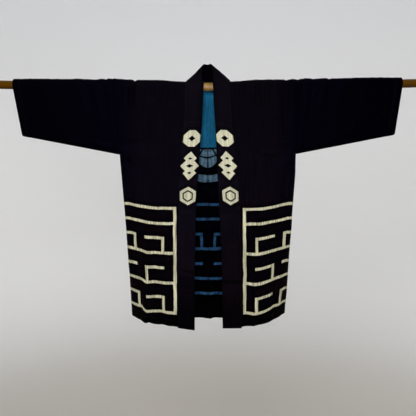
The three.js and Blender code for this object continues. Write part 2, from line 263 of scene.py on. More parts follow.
# %% A loop round the pole
FOOT_TURNS = np.radians([90, 75, 60, 45, 30, 15, 0])
OVER_TURNS = np.radians(np.arange(15, 166, 15))
RISE_STEPS = 42
ARMHOLE = dict(y=UNDERARM_Y, z=UNDERARM_Z, radius=UNDERARM_RADIUS, top_x=SHOULDER_HALF)
CUFF = dict(y=0.0, z=CUFF_FOOT_Z, radius=CUFF_RADIUS, top_x=CUFF_TOP_X)


def half_loop(y, z, radius, top_x, facing):
    """Points (y, z) from the foot of a loop up to the pole's axis, in front (-1) or behind (1)."""
    centre = z + radius
    foot = np.stack([y + facing * radius * np.cos(FOOT_TURNS), centre - radius * np.sin(FOOT_TURNS)], 1)
    t = np.arange(1, RISE_STEPS + 1) / RISE_STEPS
    rise_y = mix(y, 0, t) + facing * mix(radius, OVER_POLE, t)
    rise = np.stack([rise_y, mix(centre, pole_rise(top_x), t)], 1)
    return np.concatenate([foot, rise])


def whole_loop(**loop):
    over = round_pole(loop["top_x"] + 0 * OVER_TURNS, OVER_TURNS, OVER_POLE)[:, 1:]
    return np.concatenate([half_loop(**loop, facing=-1), over, half_loop(**loop, facing=1)[::-1]])


def armhole_x(z):
    return mix(SHOULDER_HALF, UNDERARM_X, clamp(z / UNDERARM_Z))


def cuff_x(z, foot_x):
    return mix(CUFF_TOP_X, foot_x, clamp(z / CUFF_FOOT_Z))


print("points round an armhole:", len(whole_loop(**ARMHOLE)))

# %% [markdown]
# ## How a wall of the body hangs
# At each height the front and the back are two walls that turn into each other at the side. The turn is a
# quarter of an oval 22 mm deep. Above the underarm the walls end on the armhole loop instead.

# %% Where a wall of cloth hangs
def wall_end(z):
    """Where both walls end at height z: x, the y halfway between them, and half the space between them."""
    _, _, half, side = body_section(z)
    centre = UNDERARM_Z + UNDERARM_RADIUS
    drop = clamp((centre - z) / UNDERARM_RADIUS)
    t = clamp((z - centre) / (pole_rise(SHOULDER_HALF) - centre))
    foot = z < centre
    y = np.where(foot, UNDERARM_Y, mix(UNDERARM_Y, 0, t))
    gap = np.where(foot, UNDERARM_RADIUS * np.sqrt(1 - drop**2), mix(UNDERARM_RADIUS, OVER_POLE, t))
    below = z < UNDERARM_Z - 1e-9
    return np.where(below, half, armhole_x(z)), np.where(below, side, y), np.where(below, 0, gap)


def wall_point(z, facing, start, share, turn):
    """(x, y) of the front (-1) or back (1) wall, share of the way across and turn round into the side."""
    end_x, end_y, end_gap = wall_end(z)
    middle, spread = body_section(z)[:2]
    x = mix(start, end_x - SIDE_TURN, share) + SIDE_TURN * np.sin(turn)
    gap = mix(end_gap, spread, np.cos(turn))
    centre = middle + (end_y - middle) * (x / end_x) ** 3
    slope = np.where(z < UNDERARM_Z, 3 * (end_y - middle) * (x / end_x) ** 2 / end_x, 0)
    length = np.hypot(1, slope)
    return x - facing * gap * slope / length, centre + facing * gap / length


print("front wall at the waist:", [round(float(v), 4) for v in wall_point(-0.4, -1, 0.1, 0.5, 0.0)])

# %% [markdown]
# ## Creases
# Cotton this heavy folds softly. A crease is a ridge or trough along a line of the cut cloth: a rounded
# section, fading out at both ends. Its line is given on the flat cloth, so that it crosses the shoulder or
# turns round the side as a real one does. Places on the cloth are (across, down) in millimetres: across
# from the middle of the back, down from the shoulder in front, and below zero down the back.

# %% A crease, and the small unevenness of cloth
CREASE_FULLNESS = 1.5  # creases stand half as high again as their tables say
# each piece has a seed of its own, so that no two are uneven in the same way
SEEDS = {
    "right": dict(fold=5.0, body=3.0, sleeve=21.0, collar=41.0),
    "left": dict(fold=9.0, body=11.0, sleeve=31.0, collar=51.0),
}


def crease(across, down, x0, y0, x1, y1, width, depth, bow=0):
    """How far one crease, from (x0, y0) to (x1, y1), moves the cloth: out where depth is above zero."""
    x0, y0, x1, y1 = np.array([x0, y0, x1, y1]) * MM
    length = math.hypot(x1 - x0, y1 - y0)
    dx, dy = (x1 - x0) / length, (y1 - y0) / length
    t = ((across - x0) * dx + (down - y0) * dy) / length
    inside = clamp(t)
    off = (across - x0) * dy - (down - y0) * dx - bow * MM * 4 * inside * (1 - inside)
    fade = smoothly(-0.12, 0.35, t) * (1 - smoothly(0.65, 1.12, t))
    return depth * MM * fade * hump(off, 0, width * MM)


def all_creases(across, down, creases):
    total = sum((crease(across, down, *line) for line in creases), np.zeros(np.shape(across)))
    return CREASE_FULLNESS * total


def unevenness(across, down, seed, rib=0.017, length=0.16):
    """Slow, slightly ribbed waves from -1 to 1 that differ with the seed."""
    flat = np.stack([across.ravel() / rib, down.ravel() / length], 1)
    found = [noise.noise((a, b, seed)) + 0.5 * noise.noise((a * 2.3, b * 2.1, seed + 7)) for a, b in flat]
    return np.array(found).reshape(across.shape)


# %% [markdown]
# ## Cutting, hanging and thickening
# A piece of cloth starts as a flat grid primitive, cut to its size. Hanging moves its vertices to where the
# cloth hangs and writes the flat places into its UV map, in metres, so that one unit of the map is one
# metre of cloth. Solidify then gives the thickness, and gives the inner side a material of its own.

# %% Cut, hang and thicken
LIFT = 5.2  # how far the fold of the cloth stands off the wood, in millimetres
SHARES = "share_of_thickness"
# where along the pole the cloth is bunched over it, width and height, which is below zero for a pleat
BUNCHES = {
    "right": [
        (312, 32, 4.4), (432, 26, 1.6), (352, 9, 2.2), (330, 6, 1), (256, 12, 2.4), (241.5, 4, -4.6),
        (336, 3.5, -2.8), (369, 4, -1),
    ],
    "left": [
        (324, 20, 2.8), (331, 9, 0.5), (380, 20, 1.5), (300.5, 7, -2.2), (281, 6, 0.7), (261, 4.5, -3.2),
        (351, 3.5, -1.8), (403, 3.5, -2.8), (520, 60, 0.8), (205, 7, 0.8),
    ],
}


def facing_of(places):
    """The way the cloth faces at each place of a grid of places."""
    normal = np.cross(np.gradient(places, axis=1), np.gradient(places, axis=0))
    return normal / np.maximum(np.linalg.norm(normal, axis=2, keepdims=True), 1e-12)


def run_along(places, axis):
    """How much cloth lies between the first place of each row or column and the others in it."""
    steps = np.linalg.norm(np.diff(places, axis=axis), axis=2)
    return np.concatenate([np.zeros_like(steps.take([0], axis)), np.cumsum(steps, axis)], axis)


def out_of_the_wood(places, clear):
    """Cloth that has sunk into the pole is pushed out until it is that far from the pole's axis."""
    x, y, z = np.moveaxis(places, 2, 0)
    up = z - pole_rise(x)
    reach = np.maximum(np.hypot(y, up), 1e-6)
    push = np.maximum(clear, reach) / reach
    return np.stack([x, y * push, pole_rise(x) + up * push], 2)


def over_the_pole(name, places):
    """Heavy cotton doesn't fold tight: its fold stands a few millimetres off the wood, and more where it is
    bunched."""
    x, y, z = np.moveaxis(places, 2, 0)
    # Beside the neck it lies on the wood, and towards the cuff it is a little tighter.
    lift = LIFT * smoothly(0.082, 0.17, x) * (1 - 0.35 * smoothly(0.56, 0.64, x))
    for at, width, height in BUNCHES[name]:
        lift = lift + height * hump(x / MM, at, width)
    lift = lift + 0.9 * unevenness(x, 0 * x, SEEDS[name]["fold"], 0.021) * smoothly(0.09, 0.2, x)
    z = z + lift * MM * clamp((z - pole_rise(x)) / OVER_POLE)
    return out_of_the_wood(np.stack([x, y, z], 2), OVER_POLE - 0.3 * MM)


def hang(name, places, flat):
    """A flat grid of cloth, hung: its vertices go to places, and the flat cut goes into the UV map."""
    deselect_all()
    rows, columns = places.shape[:2]
    bpy.ops.mesh.primitive_grid_add(x_subdivisions=columns - 1, y_subdivisions=rows - 1, size=1)
    cloth = bpy.context.object
    cloth.name = cloth.data.name = name
    cloth.data.vertices.foreach_set("co", places.reshape(-1).astype(np.float32))
    corner = np.zeros(len(cloth.data.loops), np.int32)
    cloth.data.loops.foreach_get("vertex_index", corner)
    cut = cloth.data.uv_layers[0]
    cut.name = "cut"
    cut.data.foreach_set("uv", flat.reshape(-1, 2)[corner].ravel().astype(np.float32))
    cloth.data.update()
    return cloth


def edit_faces(piece, chosen):
    """Into edit mode with only the chosen faces selected."""
    edit("DESELECT")
    bpy.ops.mesh.select_mode(type="FACE")
    bpy.ops.object.mode_set(mode="OBJECT")
    piece.data.polygons.foreach_set("select", chosen)
    bpy.ops.object.mode_set(mode="EDIT")


def make_cloth(name, sign, places, flat, thickness, shares=None, keep=None, closed=False):
    """A piece of cloth, hung and then thickened. Sign -1 mirrors it. shares gives each place its share of
    the thickness; cells that keep leaves out are cut away, and a closed piece's long edges are sewn."""
    # A mirrored piece runs the other way across, so that it still faces out.
    places, flat, shares, keep = (a if a is None else a[:, ::sign] for a in (places, flat, shares, keep))
    cloth = hang(name, places * [sign, 1, 1], flat)
    only(cloth)
    if shares is not None:
        group = cloth.vertex_groups.new(name=SHARES)
        for index, share in enumerate(shares.ravel()):
            group.add([index], float(share), "REPLACE")
    if keep is not None:
        edit_faces(cloth, ~keep.ravel())
        bpy.ops.mesh.delete(type="FACE")
    elif closed:
        edit("SELECT")
        bpy.ops.mesh.remove_doubles(threshold=1e-6)
    only(cloth)
    solidify = cloth.modifiers.new("thickness", "SOLIDIFY")
    solidify.thickness = thickness
    solidify.offset = 0
    solidify.use_even_offset = False
    solidify.material_offset = 1
    bpy.ops.object.material_slot_add()  # both sides need their slot now, or the inner one points at nothing
    bpy.ops.object.material_slot_add()
    if shares is not None:
        solidify.vertex_group = SHARES
    bpy.ops.object.modifier_apply(modifier=solidify.name)
    cloth.vertex_groups.clear()
    bpy.ops.object.shade_smooth_by_angle(angle=math.radians(60))
    print(cloth.name, len(cloth.data.polygons), "faces")
    return cloth


# %% [markdown]
# ## The body
# Each side of the body is one length of cloth, from the front hem over the shoulder down to the back hem.
# The whole length is laid out as one grid; the part in front of the neck is cut away, as a maker cuts it,
# and the front edge then runs under the collar's seam. Rows are closer together at the round foot of the
# armhole and columns in the turn to the side.

# %% The grid of a body length
NECK_CELLS, PANEL_CELLS, LOWER_ROWS = 14, 42, 108
SIDE_TURNS = np.radians([15, 30, 45, 60, 75, 90])
PANEL_SHARES = np.concatenate([np.zeros(NECK_CELLS), np.arange(PANEL_CELLS + 1) / PANEL_CELLS, np.ones(6)])
PANEL_TURNS = np.concatenate([np.zeros(NECK_CELLS + PANEL_CELLS + 1), SIDE_TURNS])
NECK_STARTS = np.concatenate([np.arange(NECK_CELLS) / NECK_CELLS, np.ones(PANEL_CELLS + 7)]) * NECK_HALF
SHOULDER_ARC = OVER_POLE * math.pi / 2  # of cloth, from the top of the pole down to the level of its axis
CLOTH = 2.2 * MM  # thickness where it is folded double in a hem
SINGLE, THIN_END = 0.56, 0.6  # shares of that where it is single, and where a hem or a band ends
HEM_DEPTH, SEAM_DEPTH = 22 * MM, 0.9 * MM
SIDE_FULLNESS = {"right": 0.0, "left": 3.4}  # how much wider than the frame a side hangs
# where across, width, rise: the hem wavers a little where folds lift it
HEM_WAVES = {
    ("right", "front"): [
        (116, 9, 0.8), (150, 12, 2.6), (197, 6, 2.8), (207, 9, -3), (226, 9, 1.6), (252, 9, -0.8),
    ],
    ("left", "front"): [(120, 12, 1), (150, 10, -2.4), (216, 10, 1.8), (242, 9, -1.2)],
    ("right", "back"): [(5, 7, -1.6), (35, 24, 2.6)],
    ("left", "back"): [(5, 7, -2.8), (24, 8, 1.2)],
}


def climb_of(side):
    """Shares of the way up from the hem to the pole's axis, one for each row of cloth."""
    drop = pole_rise(SHOULDER_HALF) - side["side_hem"] * MM
    armhole = (half_loop(**ARMHOLE, facing=-1)[:, 1] - side["side_hem"] * MM) / drop
    return np.concatenate([np.arange(LOWER_ROWS) / LOWER_ROWS * armhole[0], armhole])


def hang_wall(name, panel):
    """One wall's rows from the hem up: its places, and how much cloth there is down from the shoulder."""
    side, facing = SIDES[name], -1 if panel == "front" else 1
    t = climb_of(side)[:, None]
    reach = mix(NECK_STARTS / UNDERARM_X, 1, PANEL_SHARES)
    edge_hem = side[panel + "_hem"] * MM
    hem = mix(edge_hem, side["side_hem"] * MM, PANEL_SHARES**2.5 if panel == "front" else reach**2)
    z = mix(hem, pole_rise(reach * SHOULDER_HALF), t)
    start = NECK_STARTS + 0 * z
    if panel == "front":
        start = front_edge[name](z)[1] + NECK_STARTS - NECK_HALF
    x, y = wall_point(z, facing, start, PANEL_SHARES, PANEL_TURNS + 0 * z)
    fuller = SIDE_FULLNESS[name] * MM * smoothly(-0.225, -0.30, z) * smoothly(-0.78, -0.68, z)
    x = x + fuller * PANEL_SHARES**2
    for at, width, rise in HEM_WAVES[name, panel]:
        z = z + rise * MM * hump(x / MM, at, width) * (1 - t) ** 6
    return np.stack([x, y, z], 2), SHOULDER_ARC - edge_hem * (1 - t) + 0 * z


def smooth_body(name):
    """The body length without its creases: places, across and down, from the front hem to the back hem."""
    front, front_down = hang_wall(name, "front")
    back, back_down = hang_wall(name, "back")
    x = back[-1, :, 0].copy()
    x[-1] = SHOULDER_HALF
    turn = OVER_TURNS[:, None] + 0 * x
    places = np.concatenate([front, round_pole(x + 0 * turn, turn, OVER_POLE), back[::-1]])
    down = np.concatenate([front_down, SHOULDER_ARC - OVER_POLE * turn, -back_down[::-1]])
    return places, places[:, :1, 0] + run_along(places, 1), down


BODY_ROWS = 2 * len(climb_of(SIDES["left"])) + len(OVER_TURNS)
print("a body length has", BODY_ROWS, "rows of", len(PANEL_SHARES), "places")

# %% [markdown]
# ## The creases of the body
# The large folds fall from the hem up, as in the frame. Over them lie the listed creases: troughs that come
# down from the pole near the armhole, a hooked crease over the chest on one side, drag lines towards the
# underarm, and short ones above the hem. The two sides are alike but never equal. The back, which nobody
# sees from the front, gets its own of the same kinds.

# %% Folds and creases of the body
# where across, width, depth, height above which it has died away
HEM_FOLDS = {
    ("right", "front"): [(214, 22, 7, -560), (150, 30, -3, -480)],
    ("left", "front"): [(140, 26, -3, -600), (196, 30, 4, -520)],
    ("right", "back"): [(62, 38, -4, -420), (168, 40, 8, -360)],
    ("left", "back"): [(40, 32, 4, -520), (112, 40, -6, -380), (200, 38, 7, -450)],
}
# where each starts and ends (across, down, across, down), its width, depth and bow
BODY_CREASES = {
    "right": [
        (246, -22, 254, 108, 9, -5), (231, 4, 236, 92, 10, 2.2), (268, 10, 272, 84, 8, 2),
        (204, 16, 198, 78, 12, -1.6), (172, 8, 176, 60, 10, 1.3), (132, 14, 126, 96, 13, -1.5, 4),
        (96, 20, 150, 74, 9, 1.1), (288, 232, 196, 214, 9, -2, -5), (286, 250, 170, 262, 12, 1.6, 6),
        (286, 268, 214, 306, 10, -2, 4), (240, 330, 236, 470, 16, 2), (180, 300, 188, 430, 18, -1.6),
        (130, 260, 120, 420, 16, 1.3), (284, 430, 250, 560, 13, -2.4, -6), (262, 540, 276, 660, 14, 2.2),
        (118, 470, 196, 500, 8, -1.3), (112, 560, 180, 548, 7, 1.2), (120, 640, 214, 664, 8, -1.4, 4),
        (176, 690, 182, 812, 9, 2.2), (236, 700, 240, 806, 9, -2.8), (124, 720, 128, 812, 10, -1.5),
    ],
    "left": [
        (252, 44, 256, 176, 10, -4.2), (233, 36, 236, 150, 10, 2), (284, 24, 283, 150, 10, 2.4),
        (268, -16, 262, 44, 7, -2.4), (206, 10, 212, 84, 11, -1.6), (160, 6, 150, 66, 12, 1.4),
        (112, 16, 128, 110, 13, -1.4, -5), (163, 244, 191, 268, 6, -3), (186, 266, 246, 277, 6, -2.8, 3),
        (178, 250, 240, 262, 8, 1.8, 3), (290, 238, 226, 226, 9, -1.7, 4),
        (288, 276, 208, 318, 12, 1.8, -5), (258, 318, 262, 452, 13, -2), (222, 310, 214, 470, 17, 1.7),
        (150, 330, 160, 480, 18, -1.5), (280, 470, 254, 600, 13, 2.4, 5), (120, 436, 206, 424, 8, -1.4),
        (118, 540, 190, 560, 8, 1.3), (122, 668, 198, 650, 8, -1.5, -3), (168, 700, 164, 812, 10, 1.8),
        (228, 690, 234, 800, 10, -2.4), (264, 640, 258, 790, 9, 1.8),
    ],
}
BACK_CREASES = {
    "right": [
        (250, -12, 256, -140, 11, -3.6), (282, -26, 276, -120, 9, 2), (196, -14, 190, -96, 13, -1.8),
        (120, -20, 128, -120, 14, 1.4), (290, -236, 190, -222, 10, -2, 4),
        (286, -266, 180, -300, 13, 2, -5), (60, -230, 30, -420, 12, -1.3), (96, -250, 104, -440, 16, 1.6),
        (220, -320, 232, -520, 17, -2.2), (150, -400, 140, -600, 15, 1.8), (30, -520, 110, -540, 9, -1.3),
        (268, -500, 250, -700, 14, 2.2, 5), (110, -640, 116, -786, 12, -2),
        (218, -640, 228, -786, 11, -2.4), (40, -660, 36, -786, 12, 1.6),
    ],
    "left": [
        (254, -14, 250, -150, 10, -3.8), (278, -20, 284, -110, 9, 1.8), (170, -16, 178, -104, 13, -1.8),
        (96, -16, 90, -110, 13, 1.4), (292, -246, 206, -238, 10, -1.9, -4),
        (284, -284, 196, -330, 13, 1.9, 5), (50, -250, 64, -430, 13, 1.4),
        (120, -240, 112, -420, 16, -1.6), (236, -330, 226, -520, 16, 2), (164, -380, 172, -590, 15, -1.8),
        (60, -560, 150, -548, 9, 1.3), (262, -470, 270, -680, 14, -2.2, -5), (78, -640, 74, -786, 12, 1.8),
        (160, -650, 156, -786, 11, -1.8), (240, -660, 232, -786, 11, 2),
    ],
}
# rise at the side seam of a front, then where across, width and drop of small sags in the weave
GRAIN = {"right": (12, [(206, 15, 6), (172, 18, -2)]), "left": (8.5, [(166, 36, 4.5), (128, 14, -1.5)])}


def hem_folds(name, panel, x, z):
    """The frame's own large folds, which grow from their tops down to the hem."""
    total, hem = 0 * x, SIDES[name][panel + "_hem"] * MM
    for at, width, depth, top in HEM_FOLDS[name, panel]:
        growth = clamp((top * MM - z) / (top * MM - hem))
        total += depth * MM * growth**2 * hump(x, at * MM, width * MM)
    return total


def held_by_pole(small, down, give):
    """Between the pole and the front the cloth can't sink, as the wood is behind it."""
    return np.where(np.abs(down) < SHOULDER_ARC, np.maximum(small, -give), small)


def body_relief(name, places, across, down):
    """How far the creased cloth stands out from the smooth one."""
    x, z = places[..., 0], places[..., 2]
    folds = np.where(down > 0, hem_folds(name, "front", x, z), hem_folds(name, "back", x, z))
    small = all_creases(across, down, BODY_CREASES[name] + BACK_CREASES[name])
    small += 0.55 * MM * unevenness(across, down, SEEDS[name]["body"])
    return folds, held_by_pole(small, down, 0.6 * MM)


def seam_pull(to_seam, width):
    """How far a seam draws the cloth in beside it."""
    return SEAM_DEPTH * hump(to_seam, 0, width * MM)


def drawn_grain(name, across, down):
    """How far the weave of a front is drawn up towards its side seam, or sags, at each place."""
    rise, sags = GRAIN[name]
    up = rise * smoothly(0.165, 0.29, across) * mix(1, 0.55, smoothly(0.45, 0.80, down))
    for at, width, drop in sags:
        up = up - drop * hump(across / MM, at, width) * smoothly(0.40, 0.72, down)
    return up * MM * smoothly(0.22, 0.42, down)


def body_places(name):
    """The creased body length, ready to hang: places, and the flat cut."""
    places, across, down = smooth_body(name)
    folds, small = body_relief(name, places, across, down)
    to_side = across[:, -1:] - across
    to_middle = np.where(down < 0, across, 1.0)
    edge = smoothly(0, 9 * MM, to_side) * smoothly(0, 7 * MM, to_middle)
    relief = folds + small * edge - (seam_pull(to_side, 3) + seam_pull(to_middle, 2.5))
    creased = places + facing_of(places) * relief[..., None]
    return over_the_pole(name, creased), np.stack([across, down + drawn_grain(name, across, down)], 2)


def hem_shares(to_hem):
    """Shares of the full thickness: double in a hem and single beyond it."""
    share = mix(1.0, SINGLE, smoothly(HEM_DEPTH - 3 * MM, HEM_DEPTH + 3 * MM, to_hem))
    return share * mix(THIN_END, 1, smoothly(0, 4 * MM, to_hem))


def make_body(name):
    places, flat = body_places(name)
    down = flat[..., 1]
    shares = hem_shares(np.minimum(np.abs(down - down.min()), np.abs(down.max() - down)))
    neckline = len(climb_of(SIDES[name])) + int(np.argmax(np.degrees(OVER_TURNS) >= NECK_TURN))
    keep = np.ones((len(places) - 1, len(places[0]) - 1), bool)
    keep[:neckline, : NECK_CELLS - 1] = False  # one cell is left on, as the allowance inside the collar
    return make_cloth("cloth_body_" + name, SIDES[name]["sign"], places, flat, CLOTH, shares, keep)


body = {name: make_body(name) for name in SIDES}

# %% [markdown]
# ## The sleeves
# A sleeve is a straight length folded over the pole, cut to taper below and sewn under the arm. It is hung
# as lines ruled from the armhole loop to the cuff loop. Its folds run down from the pole, where the cloth
# bunches a little at the armhole, and they weaken towards the cuff, which hangs clean.

# %% Sleeves with their folds
SLEEVE_CELLS = 66
# as on the body: across goes on from the armhole at 315
SLEEVE_CREASES = {
    "right": [
        (322, 26, 320, 196, 6, -3.2, -3), (334, 18, 330, 190, 7, 2, -3), (346, 34, 338, 150, 7, -2.8, -3),
        (372, 20, 362, 170, 11, 2), (400, 20, 392, 110, 8, -2.6, -3), (424, 14, 412, 150, 12, 1.6),
        (470, 10, 462, 120, 14, -1.2), (330, 236, 410, 214, 9, 1.6, 3), (326, 216, 470, 180, 12, -1.5, -4),
        (540, 16, 530, 150, 18, 1.1), (600, 20, 588, 160, 16, -1), (330, -24, 326, -170, 9, -2.8),
        (362, -20, 356, -160, 11, 1.8), (396, -26, 388, -140, 10, -2), (450, -18, 440, -150, 15, 1.4),
        (328, -220, 450, -186, 11, -1.6, 4), (520, -18, 512, -150, 18, -1.1), (590, -20, 584, -150, 16, 1),
    ],
    "left": [
        (330, 16, 328, 150, 8, 2.2), (358, 8, 342, 62, 7, -3.6, -2), (346, 50, 340, 150, 9, -1.4),
        (374, 20, 366, 84, 7, -2.4), (386, 12, 378, 130, 10, 2), (410, 10, 402, 120, 11, -1.4),
        (446, 14, 436, 136, 13, 1.4), (328, 228, 420, 206, 9, -1.6, 3), (350, 238, 500, 196, 12, 1.7, 5),
        (500, 12, 492, 140, 16, -1.2), (566, 20, 556, 150, 17, 1.1), (620, 30, 606, 160, 12, -0.9),
        (326, -20, 330, -160, 9, -2.6), (352, -18, 346, -130, 9, 2), (388, -24, 380, -150, 11, -1.9),
        (430, -18, 424, -140, 14, 1.4), (330, -226, 460, -190, 11, 1.6, -4),
        (500, -18, 494, -150, 17, -1.1), (580, -20, 572, -150, 16, 1),
    ],
}


def make_sleeve(name):
    armhole, cuff = whole_loop(**ARMHOLE), whole_loop(**CUFF)
    t = np.arange(SLEEVE_CELLS + 1) / SLEEVE_CELLS
    x = mix(armhole_x(armhole[:, 1])[:, None], cuff_x(cuff[:, 1], CUFF_FOOT_X[name])[:, None], t)
    y, z = (mix(armhole[:, k, None], cuff[:, k, None], t) for k in (0, 1))
    places = np.stack([x, y, z], 2)
    to_armhole, around = run_along(places, 1), run_along(places, 0)
    across, down = SHOULDER_HALF + to_armhole, around[len(armhole) // 2] - around
    small = all_creases(across, down, SLEEVE_CREASES[name])
    small += 0.5 * MM * unevenness(across, down, SEEDS[name]["sleeve"])
    small = held_by_pole(small, down, 0.4 * MM)
    to_seam = np.minimum(around, around[-1] - around)
    edge = smoothly(0, 9 * MM, to_armhole) * smoothly(0, 8 * MM, to_seam)
    relief = small * edge - (seam_pull(to_armhole, 3) + seam_pull(to_seam, 3))
    wrapped = np.concatenate([places[-2:-1], places, places[1:2]])
    places = over_the_pole(name, places + facing_of(wrapped)[1:-1] * relief[..., None])
    flat, shares = np.stack([across, down], 2), hem_shares(across[:, -1:] - across)
    return make_cloth("cloth_sleeve_" + name, SIDES[name]["sign"], places, flat, CLOTH, shares, closed=True)


sleeve = {name: make_sleeve(name) for name in SIDES}

# %% [markdown]
# ## The collar
# The collar is one long band, folded double over a core and sewn to the fronts and round the neck, from hem
# to hem. It is stiffer than the body, so it hangs as a plank with only a few sharp creases across it, and
# it wrinkles on the bias where it turns over the shoulder. Its free edge is a round fold, which the shares
# of thickness draw: full in the band, running out to nearly nothing in the last two millimetres.

# %% The band round the neck
COLLAR = 5.0 * MM  # thickness, with its core
NECK_TOP_TURN = 118.5  # degrees over the pole where the band goes round the back of the neck
# seam's x, degrees over the pole, and the free edge's place
NECK_STATIONS = [
    (75, 30, 17, -18.6, 30), (75, 60, 16.2, -17.6, 48), (75, 90, 14, -13, 63.5),
    (75, NECK_TOP_TURN, 10.5, -5, 72.5), (46, NECK_TOP_TURN, 7.5, 2.5, 75.8),
    (22, NECK_TOP_TURN, 4, 6.5, 75.8), (0, NECK_TOP_TURN, 0, 8, 75.8),
]
NECK_DRAW = {"right": -5.5, "left": -0.5}  # below zero, the seam is drawn in on top of the shoulder
NECK_LEAN, NECK_LEAN_Z = -1.0 * MM, 75 * MM
NECK_FULLNESS = {"right": -1.0, "left": 1.6}  # the band is hollow over one shoulder and full over the other
NECK_STEPS = 7
# across the band: where its rows of places lie, and their shares of its thickness
COLLAR_WIDTHS = np.array([0, 2, 5, 10, 18, 27, 36, 45, 54, 63, 72, 81, 89, 95, 98, 100]) / 100
COLLAR_SHARES = np.array([50, 82, 97] + 10 * [100] + [99, 84, 26]) / 100
# across the band from its seam, down from the pole's axis
COLLAR_CREASES = {
    "right": [
        (-4, 118, 64, 126, 5, -0.9), (-4, 231, 64, 228, 5, -0.8), (-4, 412, 66, 416, 5, -1.4),
        (-4, 428, 60, 425, 7, 0.7), (-4, 316, 62, 312, 5, -0.8), (-4, 616, 64, 620, 5, -1.6),
        (-4, 634, 60, 632, 7, 0.8), (-4, 668, 64, 672, 7, -1.4), (-4, 700, 64, 690, 6, -0.8),
        (16, 440, 22, 590, 12, 0.9), (40, 30, 48, 140, 11, 0.9),
    ],
    "left": [
        (-4, 132, 64, 124, 5, -0.8), (-4, 313, 62, 317, 5, -0.8), (-4, 405, 66, 411, 5, -1.5),
        (-4, 420, 60, 424, 7, 0.7), (-4, 530, 64, 526, 5, -0.7), (-4, 655, 66, 650, 5, -2),
        (-4, 669, 60, 665, 7, 0.8), (-4, 740, 64, 748, 6, -0.8), (20, 470, 14, 620, 12, 0.9),
        (36, 40, 30, 150, 11, 0.8),
    ],
}


def collar_half(name):
    """Rows of the band from its foot up to the middle of the neck: seam, free edge, and drop."""
    side = SIDES[name]
    t = climb_of(side)
    seam_z, free_z = mix(side["foot_seam"] * MM, 0, t), mix(side["foot_free"] * MM, 8 * MM, t)
    seam_x = front_edge[name](seam_z)[1]
    seam_y = wall_point(seam_z, -1, seam_x, 0 * t, 0 * t)[1] - (COLLAR_OVER_POLE - OVER_POLE)
    free_x, _, set_back = front_edge[name](free_z)
    seam = np.stack([seam_x, seam_y, seam_z], 1)
    free = np.stack([free_x, seam_y + set_back, free_z], 1)
    first = (seam_x[-1] / MM, 0, *(free[-1] / MM))
    stations = [(-k, *row) for k, row in enumerate([first, *NECK_STATIONS])]
    k = np.arange(1, NECK_STEPS * len(NECK_STATIONS) + 1) / NECK_STEPS
    x, over, *free_at = curve_through(stations)(-k * MM)
    over = np.radians(np.minimum(over / MM, NECK_TOP_TURN))
    x = np.clip(x, 0, NECK_HALF)
    x = x + NECK_DRAW[name] * MM * smoothly(0.1, 0.9, over) * smoothly(0, NECK_HALF, x)
    seam = np.concatenate([seam, round_pole(x, over, COLLAR_OVER_POLE)])
    free = np.concatenate([free, np.stack(free_at, 1)])
    length = run_along((seam + free)[:, None] / 2, 0)[:, 0]
    return seam, free, length[len(t) - 1] - length


def collar_side(name):
    """One half of the creased band, with its rows running from the wearer's right to the left."""
    sign = SIDES[name]["sign"]
    seam, free, drop = collar_half(name)
    w = COLLAR_WIDTHS[None, :, None]
    places = mix(seam[:, None], free[:, None], w)
    lean = NECK_LEAN * sign * w[..., 0] * clamp(places[..., 2] / NECK_LEAN_Z)
    places[..., 0] = (places[..., 0] + lean) * sign
    width = np.linalg.norm(free - seam, axis=1)[:, None]
    across, down = COLLAR_WIDTHS * width, drop[:, None] + 0 * width * COLLAR_WIDTHS
    small = all_creases(across, down, COLLAR_CREASES[name])
    small += 0.5 * MM * unevenness(across, down, SEEDS[name]["collar"], 0.03, 0.11)
    bias = np.sin((across + down) / (3.2 * MM)) + np.sin((across + 1.2 * down) / (4.7 * MM) + 1)
    small += 0.16 * MM * bias * (1 - smoothly(20 * MM, 80 * MM, down))
    full = mix(NECK_FULLNESS[name] * MM, 0.5 * MM, smoothly(-10 * MM, 40 * MM, down))
    small += full * np.sin(math.pi * COLLAR_WIDTHS)
    small *= smoothly(0, 4 * MM, across) * smoothly(-25 * MM, 10 * MM, down + 100 * MM)
    return [rows[::-sign] for rows in (places, np.stack([across, down], 2), small)]


def make_collar():
    halves = zip(collar_side("right"), collar_side("left"))
    places, flat, small = (np.concatenate([right, left[1:]]) for right, left in halves)
    shares = np.tile(COLLAR_SHARES, (len(places), 1))
    shares[[0, -1]] *= THIN_END
    places = places + facing_of(places) * small[..., None]
    return make_cloth("cloth_collar", 1, places, flat, COLLAR, shares)


collar = make_collar()

# %% [markdown]
# ## The shoulder lining
# Inside the upper back lies a plain blue lining, in two halves that meet over the centre seam. It follows
# the back closely, so it hangs by the same wall and the same creases, a little further in, with a soft
# pleat or two of its own.

# %% Two halves of lining
LINING = 1.0 * MM  # thickness
LINING_HALF, LINING_TOP, LINING_FOOT = 250 * MM, -7 * MM, -201 * MM
LINING_INSET, LINING_EASE = 2.5 * MM, 0.7 * MM  # how far inside the body, and how far its pleats come out
LINING_COLUMNS, LINING_ROWS = 56, 42
LINING_CREASES = [
    (16, -30, 13, -226, 4, -0.7), (27, -26, 30, -226, 5, 0.8), (44, -24, 41, -226, 7, -0.8),
    (82, -24, 90, -226, 10, 0.8), (140, -24, 132, -226, 12, -0.9), (190, -24, 198, -226, 12, 0.8),
]


